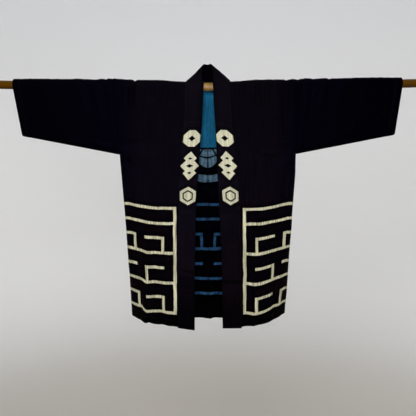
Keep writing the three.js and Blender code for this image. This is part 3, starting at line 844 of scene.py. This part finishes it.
def make_lining(name):
    x = np.linspace(0.15 * MM, LINING_HALF, LINING_COLUMNS)[None] + np.zeros((LINING_ROWS, 1))
    z = np.linspace(LINING_FOOT, LINING_TOP, LINING_ROWS)[:, None] + 0 * x
    places = np.stack([x, wall_point(z, 1, x, 0 * x, 0 * x)[1], z], 2)
    across, down = x, z - SHOULDER_ARC
    folds, small = body_relief(name, places, across, down)
    inward = -facing_of(places)  # the grid runs up and out, so it faces the wearer's back
    inward = inward if inward[0, 0, 1] > 0 else -inward
    own = all_creases(across, down, LINING_CREASES) + 0.3 * MM * unevenness(across, down, 61.0, 0.012, 0.12)
    relief = folds + small * smoothly(0, 7 * MM, across) - LINING_INSET + np.minimum(own, LINING_EASE)
    places = out_of_the_wood(places + inward * relief[..., None], OVER_POLE - 1.1 * MM)
    flat = np.stack([across, down], 2)
    return make_cloth("cloth_lining_" + name, SIDES[name]["sign"], places, flat, LINING)


lining = {name: make_lining(name) for name in SIDES}

# %% [markdown]
# ## The pole
# The pole is a slim peeled trunk, a little bowed and never quite round. It starts as a cylinder primitive
# laid along the jacket, its ends are bevelled, it is cut into short lengths so that it can bend, and then
# every ring of it is raised by the bow and swollen a little where a branch once grew.

# %% A bowed wooden pole
POLE_RADIUS, POLE_LENGTH = 14 * MM, 1480 * MM
POLE_SIDES, POLE_RINGS, POLE_BEVEL = 40, 148, 1.6 * MM
# where along the pole, and how far the wood swells there, in millimetres
KNOTS = [(-0.602, 0.5), (-0.705, 0.35), (0.01, 0.25), (0.668, 0.5), (0.724, 0.3), (-0.28, 0.4), (0.33, 0.4)]
KNOT_WIDTH = 0.012

deselect_all()
bpy.ops.mesh.primitive_cylinder_add(
    vertices=POLE_SIDES, radius=POLE_RADIUS, depth=POLE_LENGTH, rotation=(0, math.radians(90), 0)
)
pole = bpy.context.object
pole.name = pole.data.name = "wooden_pole"
bpy.ops.object.transform_apply(location=True, rotation=True, scale=True)
edit_faces(pole, [abs(face.normal.x) > 0.9 for face in pole.data.polygons])
bpy.ops.mesh.bevel(offset=POLE_BEVEL, segments=3)
for ring in range(1, POLE_RINGS):
    x = (ring / POLE_RINGS - 0.5) * (POLE_LENGTH - 4 * MM)
    bpy.ops.mesh.select_all(action="SELECT")
    bpy.ops.mesh.bisect(plane_co=(x, 0, 0), plane_no=(1, 0, 0))
bpy.ops.object.mode_set(mode="OBJECT")
for vertex in pole.data.vertices:
    x, y, z = vertex.co
    turn = math.atan2(z, y)
    knots = [size * hump(x, at, KNOT_WIDTH) * (0.5 + 0.5 * math.cos(turn - 9 * at)) for at, size in KNOTS]
    wander = 0.3 * noise.noise((x / 0.11, math.cos(turn), math.sin(turn)))
    grow = 1 + (sum(knots) + wander - 0.35) * MM / POLE_RADIUS
    vertex.co = (x, y * grow, z * grow + pole_rise(x))
only(pole)
bpy.ops.object.shade_smooth_by_angle(angle=math.radians(50))
print("the pole has", len(pole.data.polygons), "faces")

# %% [markdown]
# ## Building a finish
# Each finish is a node tree. A value that varies over a piece is an Amount: sums done with it add nodes, so
# that a finish reads as a recipe: where on the cloth, what is dyed there, how the threads lie, how the
# light takes it.

# %% Amounts, and the recipes that use them
class Amount:
    """A number, a place or a colour that varies over a piece. Sums done with it become nodes."""

    def __init__(self, socket):
        self.socket, self.tree = socket, socket.id_data

    __add__ = lambda self, other: maths("ADD", self, other)
    __radd__ = lambda self, other: maths("ADD", other, self)
    __sub__ = lambda self, other: maths("SUBTRACT", self, other)
    __rsub__ = lambda self, other: maths("SUBTRACT", other, self)
    __mul__ = lambda self, other: maths("MULTIPLY", self, other)
    __truediv__ = lambda self, other: maths("DIVIDE", self, other)
    __neg__ = lambda self: maths("MULTIPLY", self, -1.0)
    __abs__ = lambda self: maths("ABSOLUTE", self)


def join(value, socket):
    """Gives a socket its value: joined to an amount, or simply set."""
    if isinstance(value, Amount):
        value.tree.links.new(value.socket, socket)
    else:
        socket.default_value = value


def node(kind, inputs, output=0, tree=None, **settings):
    """A new node in the tree of its inputs."""
    tree = tree or next(value.tree for value in inputs.values() if isinstance(value, Amount))
    made = tree.nodes.new("ShaderNode" + kind)
    for name, value in settings.items():
        setattr(made, name, value)
    for name, value in inputs.items():
        join(value, made.inputs[name])
    return Amount(made.outputs[output])


def maths(operation, *values):
    return node("Math", dict(enumerate(values)), operation=operation)


def higher(first, second):
    return maths("MAXIMUM", first, second)


def place(u, v, w=0.0):
    return node("CombineXYZ", {"X": u, "Y": v, "Z": w})


def apart(vector):
    """The three numbers of a place."""
    return [node("SeparateXYZ", {"Vector": vector}, k) for k in range(3)]


def grain(vector, detail=2.0, roughness=0.5, distortion=0.0):
    """Noise from 0 to 1 with features one unit across."""
    inputs = {"Vector": vector, "Scale": 1.0, "Detail": detail, "Roughness": roughness}
    return node("TexNoise", {**inputs, "Distortion": distortion})


def cloth_grain(u, v, width, length, seed, detail, roughness=0.5):
    """Noise on the cut cloth, with features of that width and length."""
    return grain(place(u / width, v / length, seed), detail, roughness)


def step(value, low, high, start=0.0, end=1.0):
    """From start, where value is low, softly to end, where it is high."""
    inputs = {"Value": value, "From Min": low, "From Max": high, "To Min": start, "To Max": end}
    return node("MapRange", inputs, interpolation_type="SMOOTHSTEP")


def dye(factor, first, second):
    """The first colour where factor is 0 and the second where it is 1."""
    first, second = ((*c, 1) if isinstance(c, tuple) else c for c in (first, second))
    return node("Mix", {"Factor": factor, 6: first, 7: second}, 2, data_type="RGBA")


def shade(colour, amount):
    """A colour made lighter or darker by a factor."""
    return node("VectorMath", {0: colour, 3: amount}, operation="SCALE")


def fade(colour, value, low, high, start, end):
    """A colour, shaded by start where value is low and by end where it is high."""
    return shade(colour, step(value, low, high, start, end))


def new_finish(name):
    material = bpy.data.materials.new(name)
    material.use_nodes = True
    return material, material.node_tree, material.node_tree.nodes["Principled BSDF"].inputs


def bump(height, strength):
    return node("Bump", {"Strength": strength, "Distance": 1.0, "Height": height})


def on_object(tree):
    """Where on the piece: x, y and z."""
    return apart(node("TexCoord", {}, 3, tree))


def colour(*screen):
    """A colour of light, from 0 to 1, from the usual 0 to 255 of a screen."""
    return tuple(c / 255 / 12.92 if c <= 10.31 else ((c / 255 + 0.055) / 1.055) ** 2.4 for c in screen)


# %% [markdown]
# ## The dyed patterns
# A resist-dyed pattern is drawn by how far each place lies from the edge of the nearest figure: below zero
# is inside it and stays pale. Bars, lozenges and rings are enough here. Three traditional kinds are used:
# a key fret round the hems, a flower in a ring on the back, and lozenges and a tortoiseshell on the
# collar. All are plain, common ornaments. Their measures are in millimetres.

# %% Figures as distances
LINE = 4.6  # half the width of a pale line
FRET = {"right": dict(edge=103.3, top=430.5, pitch=48.9), "left": dict(edge=114.2, top=434, pitch=48.6)}
FRET_TOP_BACK, FRET_PITCH_BACK = 417, 49.3
HOOK_STEP, POST_WIDTH = 97, 10.4
PAST_MIDDLE, PAST_SIDE = -100, 360  # beyond the edges of the cloth


def bar(u, v, left, right, top, foot):
    """Distance to an upright rectangle."""
    aside = abs(u - (left + right) / 2 * MM) - (right - left) / 2 * MM
    below = abs(v - (top + foot) / 2 * MM) - (foot - top) / 2 * MM
    return higher(aside, below)


def lozenge(u, v, middle_u, middle_v, half_width, half_height):
    scale = half_width * half_height / math.hypot(half_width, half_height) * MM
    aside = abs(u - middle_u * MM) * (scale / (half_width * MM))
    below = abs(v - middle_v * MM) * (scale / (half_height * MM))
    return aside + below - scale


def either(*figures):
    found = figures[0]
    for figure in figures[1:]:
        found = maths("MINIMUM", found, figure)
    return found


def without(figure, *holes):
    for hole in holes:
        figure = higher(figure, -hole)
    return figure


def line_across(u, v, left, right, at):
    return bar(u, v, left, right, at - LINE, at + LINE)


def line_down(u, v, at, top, foot):
    return bar(u, v, at - LINE, at + LINE, top, foot)


def hooks(u, v, first, reach, lower, upper, count, outward):
    """Hooks between two lines: a post from the lower line up to half height, and a bar across."""
    figures = []
    for k in range(count):
        near = first + k * HOOK_STEP
        figures.append(line_across(u, v, near - LINE, near + reach + LINE, lower))
        figures.append(line_down(u, v, near if outward else near + reach, lower, upper))
    return figures


def front_fret(u, v, edge, top, pitch):
    """The fret on a front, which starts at edge, beside the collar; pitch is from line to line."""
    row = [top + pitch * k for k in range(8)]
    figures = [bar(u, v, edge, edge + POST_WIDTH, row[0] - LINE, row[7] + LINE)]
    figures += [line_across(u, v, edge + LINE, PAST_SIDE, row[k]) for k in (0, 1, 3, 5, 7)]
    for k, outward in ((1, True), (3, False), (5, True)):
        figures += hooks(u, v, edge + 46, 58, row[k + 1], row[k + 2], 2, outward)
    return either(*figures)


def back_fret(u, v):
    """The fret across the back, where v is the drop down the back."""
    row = [FRET_TOP_BACK + FRET_PITCH_BACK * k for k in range(8)]
    figures = [line_across(u, v, PAST_MIDDLE, PAST_SIDE, row[k]) for k in (0, 1, 3, 5)]
    figures.append(line_across(u, v, 62, PAST_SIDE, row[7]))
    figures.append(line_across(u, v, PAST_MIDDLE, 67, row[6]))
    figures.append(line_down(u, v, 62, row[6], row[7]))
    for k, first, count, outward in ((1, 22, 3, True), (3, 22, 3, False), (5, 119, 2, True)):
        figures += hooks(u, v, first, 56, row[k + 1], row[k + 2], count, outward)
    return either(*figures)


def ringed_flower(u, v):
    """A ring round a six-petalled flower, high on the back."""
    middle, ring, thick, reach, petal = 203 * MM, 128 * MM, 12 * MM, 56 * MM, 34 * MM
    down = v - middle
    radius = maths("SQRT", u * u + down * down)
    turn = maths("PINGPONG", maths("ARCTAN2", u, down), math.radians(30))
    out, aside = radius * maths("COSINE", turn), radius * maths("SINE", turn)
    from_tip = out - reach
    flower = maths("SQRT", from_tip * from_tip + aside * aside) - petal
    flower = higher(flower, aside * math.cos(math.radians(30)) - out * 0.5 + 2.4 * MM)
    vein = abs(radius - (reach + MM)) - 2.2 * MM
    rib = higher(aside - 1.8 * MM, reach - out)
    flower = without(flower, vein, rib, radius - 19 * MM)
    return either(abs(radius - ring) - thick, flower, radius - 14 * MM)


def tortoiseshell(u, v, middle_u, middle_v, size):
    """A hexagon with a corner at the top and the foot, a little narrower than a regular one."""
    width, half = size * 0.84, size * 1.68
    sides = bar(u, v, middle_u - width, middle_u + width, middle_v - size, middle_v + size)
    return higher(sides, lozenge(u, v, middle_u, middle_v, half, size))


def collar_figures(u, v):
    """A lozenge, a stepped pine-bark lozenge and a tortoiseshell, one below the other."""
    middle = 30
    top = higher(lozenge(u, v, middle, 180, 40, 37), bar(u, v, 1.5, 58, 153, 207))
    top = without(top, lozenge(u, v, middle, 180, 12, 9))
    steps = [lozenge(u, v, middle, *row) for row in ((270, 31, 30), (245, 22, 22), (295, 22, 22))]
    holes = [lozenge(u, v, middle, *row) for row in ((246, 7.5, 4), (270, 12, 6.4), (294, 7.5, 4))]
    shell, outer, inner = (tortoiseshell(u, v, middle, 369.5, size) for size in (31, 20, 15))
    return either(top, without(either(*steps), *holes), without(shell, without(outer, inner)))


# %% [markdown]
# ## Cotton
# All the cloth is hand-woven cotton: a plain weave of thick, uneven threads. Its dye is not even: it is
# streaked along the warp and has faded towards brown here and there. The pale figures are the undyed
# cotton, a warm cream, with soft, slightly ragged edges where the dye crept under the paste. On the inner
# side the dye shows through and the figures are a muted blue.

# %% A finish for cotton
THREAD, STITCH = 0.75 * MM, 7.5 * MM
SWAY, RAGGED, POOL = 5 * MM, 2.4 * MM, 22 * MM  # of the figures' lines, their edges and the dye round them
BLACK = (0.0018, 0.0012, 0.0029)
SLEEVE_BLACK = (0.0003, 0.0002, 0.0020)
# the collar's inner black and the insides' blacks below are painted shade, far darker than the outer sides
COLLAR_BLACK, COLLAR_INSIDE_SHADED_BLACK = (0.0018, 0.0013, 0.0030), (0.0004, 0.0006, 0.0018)
INSIDE_SHADED_BLACK = (0.0006, 0.0007, 0.0013)
INSIDE_SHADED_HIGH, INSIDE_SHADED_LOW = (0.0005, 0.0006, 0.0019), (0.0005, 0.0005, 0.0005)
FADED = (0.0038, 0.0015, 0.0023)
CREAM, COLLAR_CREAM = colour(189, 186, 159), colour(192, 190, 165)
LINING_BLUE, THREAD_BLUE = (0.0066, 0.082, 0.166), (0.0055, 0.0055, 0.0100)
BLUE_HIGH, BLUE_LOW = (0.066, 0.120, 0.170), (0.015, 0.050, 0.112)


def stitching(lines):
    """Running stitches along lines, each given as (distance from it, way along it): where the thread shows,
    and how far the cloth is pulled in beside it."""
    thread, pull = 0.0, 0.0
    for away, along in lines:
        away = abs(away)
        beat = step(maths("FRACT", along / STITCH), 0.5, 0.6, 1.0, 0.0)
        thread = higher(thread, step(away, 0.35 * MM, 0.75 * MM, 1.0, 0.0) * beat)
        pull = higher(pull, step(away, 0.0, 3.5 * MM, 0.5 * MM, 0.0))
    return thread, pull


def cotton(
    name, ground, fading_and_shade=None, figures=None, pale=CREAM, seed=0.0, streaks=0.35, gloss=0.018, sewn=None
):
    """A cotton finish. fading_and_shade, figures and sewn are recipes that take u and v: fading_and_shade
    changes the ground, which it gets last, with fading and with painted light and shade, figures gives
    distances, and sewn gives lines of stitches. pale is a colour, or a recipe for one."""
    material, tree, shader = new_finish(name)
    u, v, _ = apart(node("UVMap", {}, tree=tree, uv_map="cut"))
    warp = cloth_grain(u, v, 0.0035, 0.11, seed, 4.0, 0.62)
    cloud = cloth_grain(u, v, 0.07, 0.09, seed + 5, 3.0, 0.55)
    slub = cloth_grain(u, v, 0.03, 0.0016, seed + 9, 3.0, 0.6)
    fuzz = cloth_grain(u, v, 0.004, 0.004, seed + 13, 3.0, 0.6)
    # the ground, with its fading and the painted light and shade of the recipe
    dyed_and_shaded = fading_and_shade(u, v, cloud, ground) if fading_and_shade else ground
    if figures:
        sway = (cloth_grain(u, v, 0.045, 0.045, seed + 17, 1.0) - 0.5) * SWAY
        distance = figures(u + sway, v - sway) + (fuzz - 0.5) * RAGGED
        creep = step(distance, -2.6 * MM, 0.6 * MM, 0.0, 0.32)
        soiled = step(cloud + slub * 0.25, 0.5, 0.95, 0.0, 0.2)
        pale = pale(u, v) if callable(pale) else pale
        pale = fade(pale, higher(creep, soiled), 0.0, 1.0, 1.0, 0.6)
        dyed_and_shaded = fade(dyed_and_shaded, distance, 1 * MM, POOL, 0.4, 1.0)  # the dye is deepest beside the paste
        dyed_and_shaded = dye(step(distance, -0.5 * MM, 0.5 * MM, 1.0, 0.0), dyed_and_shaded, pale)
    dyed_and_shaded = shade(dyed_and_shaded, step(warp, 0.25, 0.78, 1 - streaks, 1 + streaks) + step(slub, 0.3, 0.8, -0.09, 0.09))
    thread, pull = stitching(sewn(u, v)) if sewn else (0.0, 0.0)
    join(dye(thread * 0.75, dyed_and_shaded, THREAD_BLUE), shader["Base Color"])
    join(step(warp, 0.2, 0.8, 0.44, 0.58), shader["Roughness"])
    weave = maths("SINE", u * (math.pi / THREAD)) * maths("SINE", v * (math.pi / THREAD))
    height = weave * (0.07 * MM) + warp * (0.35 * MM) + slub * (0.22 * MM) + fuzz * (0.25 * MM)
    join(bump(height + (thread * (0.3 * MM) - pull), 0.8), shader["Normal"])
    shader["Specular IOR Level"].default_value = gloss
    shader["Specular Tint"].default_value = (0.80, 0.62, 1.0, 1)
    shader["Sheen Weight"].default_value = gloss * 0.1
    shader["Sheen Roughness"].default_value = 0.5
    return material


def body_figures(name):
    return lambda u, v: either(front_fret(u, v, **FRET[name]), back_fret(u, -v), ringed_flower(u, -v))


def browned_and_shaded_below(u, v, cloud, ground):
    """The cloth is bluer towards the armholes, and the fronts have browned here and there, low down. Painted
    light makes it lighter from the shoulders down to the waist; lower down it is darker across the fret and
    darkest just above the hem.
    """
    to_armhole = step(u, 0.215, 0.30) * step(abs(v), 0.26, 0.40, 1.0, 0.35)
    ground = dye(to_armhole, ground, SLEEVE_BLACK)
    brown_and_shade = dye(step(cloud, 0.44, 0.66) * step(v, 0.36, 0.56), ground, FADED)
    # painted light: lighter from the shoulders down to the waist
    brown_and_shade = fade(brown_and_shade, v, 0.05, 0.34, 0.9, 1.35)
    # darker across the lower fret, and darkest just above the hem
    return fade(fade(brown_and_shade, v, 0.41, 0.47, 1.0, 0.62), v, 0.75, 0.79, 1.0, 0.2)


def shaded_to_cuff(u, v, cloud, ground):
    """Painted shade: the sleeves are darker towards the cuffs."""
    return fade(ground, u, 0.33, 0.60, 1.0, 0.45)


# how far down, half width, and share of the tone left at its middle: painted shade along the band's sharpest
# creases
CREASE_SHADES = {
    "right": [(0.618, 0.006, 0.75), (0.672, 0.012, 0.8)],
    "left": [(0.420, 0.006, 0.6), (0.653, 0.008, 0.42)],
}


def darker_below(u, v, cloud, ground):
    """The band has browned here and there lower down, and more on the left. Painted light makes it lighter
    from the neck down to the chest, it has steps of lighter and darker tone down each side, painted shade
    darkens its sharpest creases, and it is darker towards its foot.
    """
    brown_and_shade = dye(step(cloud, 0.50, 0.72) * step(v, 0.42, 0.60), ground, FADED)
    x = on_object(u.tree)[0]
    on = {"left": step(x, 0.0, 0.04), "right": step(x, -0.04, 0.0, 1.0, 0.0)}
    brown_and_shade = dye(on["left"] * step(v, 0.52, 0.60, 0.0, 0.4), brown_and_shade, FADED)
    # painted light: lighter from the neck down to the chest
    brown_and_shade = fade(brown_and_shade, v, 0.05, 0.30, 0.92, 1.4)
    # steps of lighter and darker tone down each side
    tone_bands = {"left": step(v, 0.44, 0.49, 1.0, 0.7), "right": step(v, 0.59, 0.65, 1.1, 0.58)}
    brown_and_shade = shade(brown_and_shade, on["right"] * tone_bands["right"] + on["left"] * tone_bands["left"])
    # painted shade along the sharpest creases
    for side, lines in CREASE_SHADES.items():
        for at, half, depth in lines:
            near = step(abs(v - at), 0.5 * half, 1.5 * half, 1.0 - depth, 0.0)
            brown_and_shade = shade(brown_and_shade, 1.0 - near * on[side])
    # darker towards the foot of the band
    return fade(brown_and_shade, v, 0.66, 0.76, 1.0, 0.2)


def inside_shade(u, v, cloud, ground):
    """Painted shade inside the jacket: very dark blue near the neck and near black lower down."""
    return dye(step(abs(v), 0.54, 0.72), INSIDE_SHADED_HIGH, INSIDE_SHADED_LOW)


def body_stitches(name):
    """Lines of stitches along the hems at both ends of a body length, and beside the seam down the back."""
    front_line = SHOULDER_ARC - SIDES[name]["front_hem"] * MM - HEM_DEPTH
    back_line = -(SHOULDER_ARC - SIDES[name]["back_hem"] * MM - HEM_DEPTH)

    def lines(u, v):
        in_back = step(v, -30 * MM, -29 * MM)  # only the back has a seam in its middle
        return [(v - front_line, u), (v - back_line, u), (u - 4 * MM + in_back, v)]

    return lines


def stitches_at(across):
    """One line of stitches down the cloth: round a cuff's hem, or beside the collar's seam."""
    return lambda u, v: [(u - across, v)]


def washed_out_and_lit(u, v, cloud, ground):
    """The lining's dye has washed out in small clouds, and beside the pole it is made lighter with painted
    light.
    """
    patchy = cloth_grain(u, v, 0.009, 0.022, 8.0, 3.0, 0.65)
    # patchy washing out, then painted light beside the pole
    return fade(fade(ground, patchy, 0.3, 0.7, 0.84, 1.1), v, -0.085, -0.040, 1.0, 1.7)


def shown_through(u, v):
    """Inside, the pale figures show blue through the cloth: patchy and grey near the neck, deeper below.
    They are dark along the seam down the back, and a painted shadow darkens them close under the foot of the
    lining."""
    patchy = cloth_grain(u, v, 0.012, 0.012, 3.0, 3.0, 0.65)
    blue = dye(step(abs(v), 0.31, 0.40), BLUE_HIGH, BLUE_LOW)
    from_foot = abs(v - (LINING_FOOT - SHOULDER_ARC))
    # dark along the seam down the back, and a painted shadow under the foot of the lining
    seam_and_shadow = step(u, 1.2 * MM, 2.6 * MM, 0.08, 1.0) * step(from_foot, 5 * MM, 7 * MM, 0.04, 1.0)
    return fade(shade(blue, seam_and_shadow), patchy, 0.34, 0.62, 0.45, 1.15)


def wear(piece, *sides):
    for slot, side in zip(piece.material_slots, sides):
        slot.material = side


for name, seed in (("right", 1.0), ("left", 4.0)):
    figures, sewn = body_figures(name), body_stitches(name)
    outside = cotton("dyed_cotton_" + name, BLACK, browned_and_shaded_below, figures, CREAM, seed, 0.6, 0.008, sewn)
    inside = cotton(
        "dyed_cotton_inside_" + name, INSIDE_SHADED_BLACK, inside_shade, figures, shown_through, seed, gloss=0.002
    )
    wear(body[name], outside, inside)
    sleeve_dye_and_shade = {"fading_and_shade": shaded_to_cuff, "sewn": stitches_at(CUFF_TOP_X - HEM_DEPTH), "gloss": 0.008}
    outside = cotton("sleeve_cotton_" + name, SLEEVE_BLACK, seed=seed + 20, **sleeve_dye_and_shade)
    wear(sleeve[name], outside, cotton("sleeve_inside_" + name, INSIDE_SHADED_BLACK, seed=seed + 30, gloss=0.002))
    blue = cotton("blue_cotton_" + name, LINING_BLUE, washed_out_and_lit, seed=seed + 40, streaks=0.34, gloss=0.012)
    wear(lining[name], blue, blue)
band_dye_and_shade = {"fading_and_shade": darker_below, "figures": collar_figures, "pale": COLLAR_CREAM}
outside = cotton("collar_cotton", COLLAR_BLACK, seed=60.0, sewn=stitches_at(3 * MM), **band_dye_and_shade)
inside = cotton("collar_cotton_inside", COLLAR_INSIDE_SHADED_BLACK, seed=70.0, streaks=0.9, gloss=0.002)
wear(collar, outside, inside)
print("cloth finishes:", len(bpy.data.materials))

# %% [markdown]
# ## Wood and the stage's paint
# The pole is peeled softwood, yellow-brown, handled until it is slightly polished. The grain runs along
# it, stretched far more lengthwise than across, with darker rings at the knots. Painted shade darkens its
# ends and the top of its middle, and painted light lightens the underside of its middle and lays a
# highlight along its front. The stage is painted with shade: darker on the floor under the jacket,
# palest partway up the wall and a little darker towards its top.

# %% A finish for the pole, and one for the stage
WOOD, RINGS, CLOUDS = colour(184, 149, 90), colour(131, 100, 53), colour(92, 66, 36)
# painted shade towards the ends of the pole
SHADED_END_WOOD, SHADED_END_RINGS = colour(86, 52, 0), colour(62, 36, 0)
# a painted highlight, painted shade on top of the middle, and the knots' own colour
PAINTED_HIGHLIGHT, PAINTED_TOP_SHADE, KNOT = colour(222, 196, 176), colour(58, 46, 30), colour(62, 40, 20)
# painted shade on the floor and at the top of the wall; the wall is palest partway up
FLOOR_PAINTED_SHADE, WALL_SHADE, WALL_TOP_PAINTED_SHADE = (0.41, 0.388, 0.348), (0.90, 0.90, 0.897), (0.84, 0.845, 0.85)


def pole_wood():
    """Darker and more orange towards its ends, as painted shade; in the middle painted lighter below, with a
    painted highlight along the front and painted shade on top.
    """
    material, tree, shader = new_finish("pole_wood")
    x, y, z = on_object(tree)
    rings = grain(place(x / 0.16, y / 0.0035, z / 0.0035), 4.0, 0.55, 0.4)
    fibre = grain(place(x / 0.03, y / 0.0009, z / 0.0009), 3.0, 0.6)
    cloud = grain(place(x / 0.09, y / 0.05, z / 0.05), 2.0)
    wood = dye(step(cloud, 0.45, 0.8, 0.0, 0.6), dye(step(rings, 0.3, 0.7), WOOD, RINGS), CLOUDS)
    # painted shade: darker and more orange towards the ends
    wood = dye(step(abs(x), 0.35, 0.58), wood, dye(step(rings, 0.3, 0.7), SHADED_END_WOOD, SHADED_END_RINGS))
    # the middle of the pole, where light and shade are painted
    centre_mask = step(abs(x), 0.05, 0.3, 1.0, 0.0)
    # painted light: lighter underneath
    wood = shade(wood, 1.0 + centre_mask * step(z, -14 * MM, -6 * MM, 0.75, 0.0))
    # a painted highlight along the front
    highlight = step(abs(z + 5.0 * MM), 0.6 * MM, 3.6 * MM, 0.34, 0.0)
    wood = dye(centre_mask * highlight, wood, PAINTED_HIGHLIGHT)
    # painted shade on top, under the cloth at the neck
    wood = dye(centre_mask * step(z, 4.0 * MM, 9.0 * MM, 0.0, 0.85), wood, PAINTED_TOP_SHADE)
    for at, size in KNOTS:
        wood = dye(step(abs(x - at), 0.001, 0.007, size * 0.9, 0.0), wood, KNOT)
    join(fade(wood, fibre, 0.25, 0.75, 0.88, 1.1), shader["Base Color"])
    join(step(rings, 0.3, 0.8, 0.42, 0.58), shader["Roughness"])
    join(bump(rings * (0.25 * MM) + fibre * (0.08 * MM), 0.7), shader["Normal"])
    shader["Specular IOR Level"].default_value = 0.16
    shader["Specular Tint"].default_value = (1.0, 0.7, 0.2, 1)
    return material


def stage_paint():
    material, tree, shader = new_finish("pale_stage")
    x, y, z = on_object(tree)
    away = maths("SQRT", x * x + y * y) + z
    # painted shade: the floor darker under the jacket, and the top of the wall a little darker
    wall = dye(step(away, 3.4, 6.0), WALL_SHADE, WALL_TOP_PAINTED_SHADE)
    join(dye(step(away, -0.5, 3.2), FLOOR_PAINTED_SHADE, wall), shader["Base Color"])
    shader["Roughness"].default_value = 0.9
    shader["Specular IOR Level"].default_value = 0.1
    return material


pole.data.materials.append(pole_wood())
floor.data.materials.append(stage_paint())

# %% [markdown]
# ## Telling the frame what stands for what
# Every new piece rides on the one body and stands for its CAD solid, which is hidden.

# %% Pieces and the solids they stand for
def stands_for(piece, node):
    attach(piece, "root")
    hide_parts(node)


stands_for(pole, "pole")
stands_for(collar, "collar")
for name in SIDES:
    stands_for(body[name], "body_" + name)
    stands_for(sleeve[name], "sleeve_" + name)
    stands_for(lining[name], "shoulder_lining_" + name)
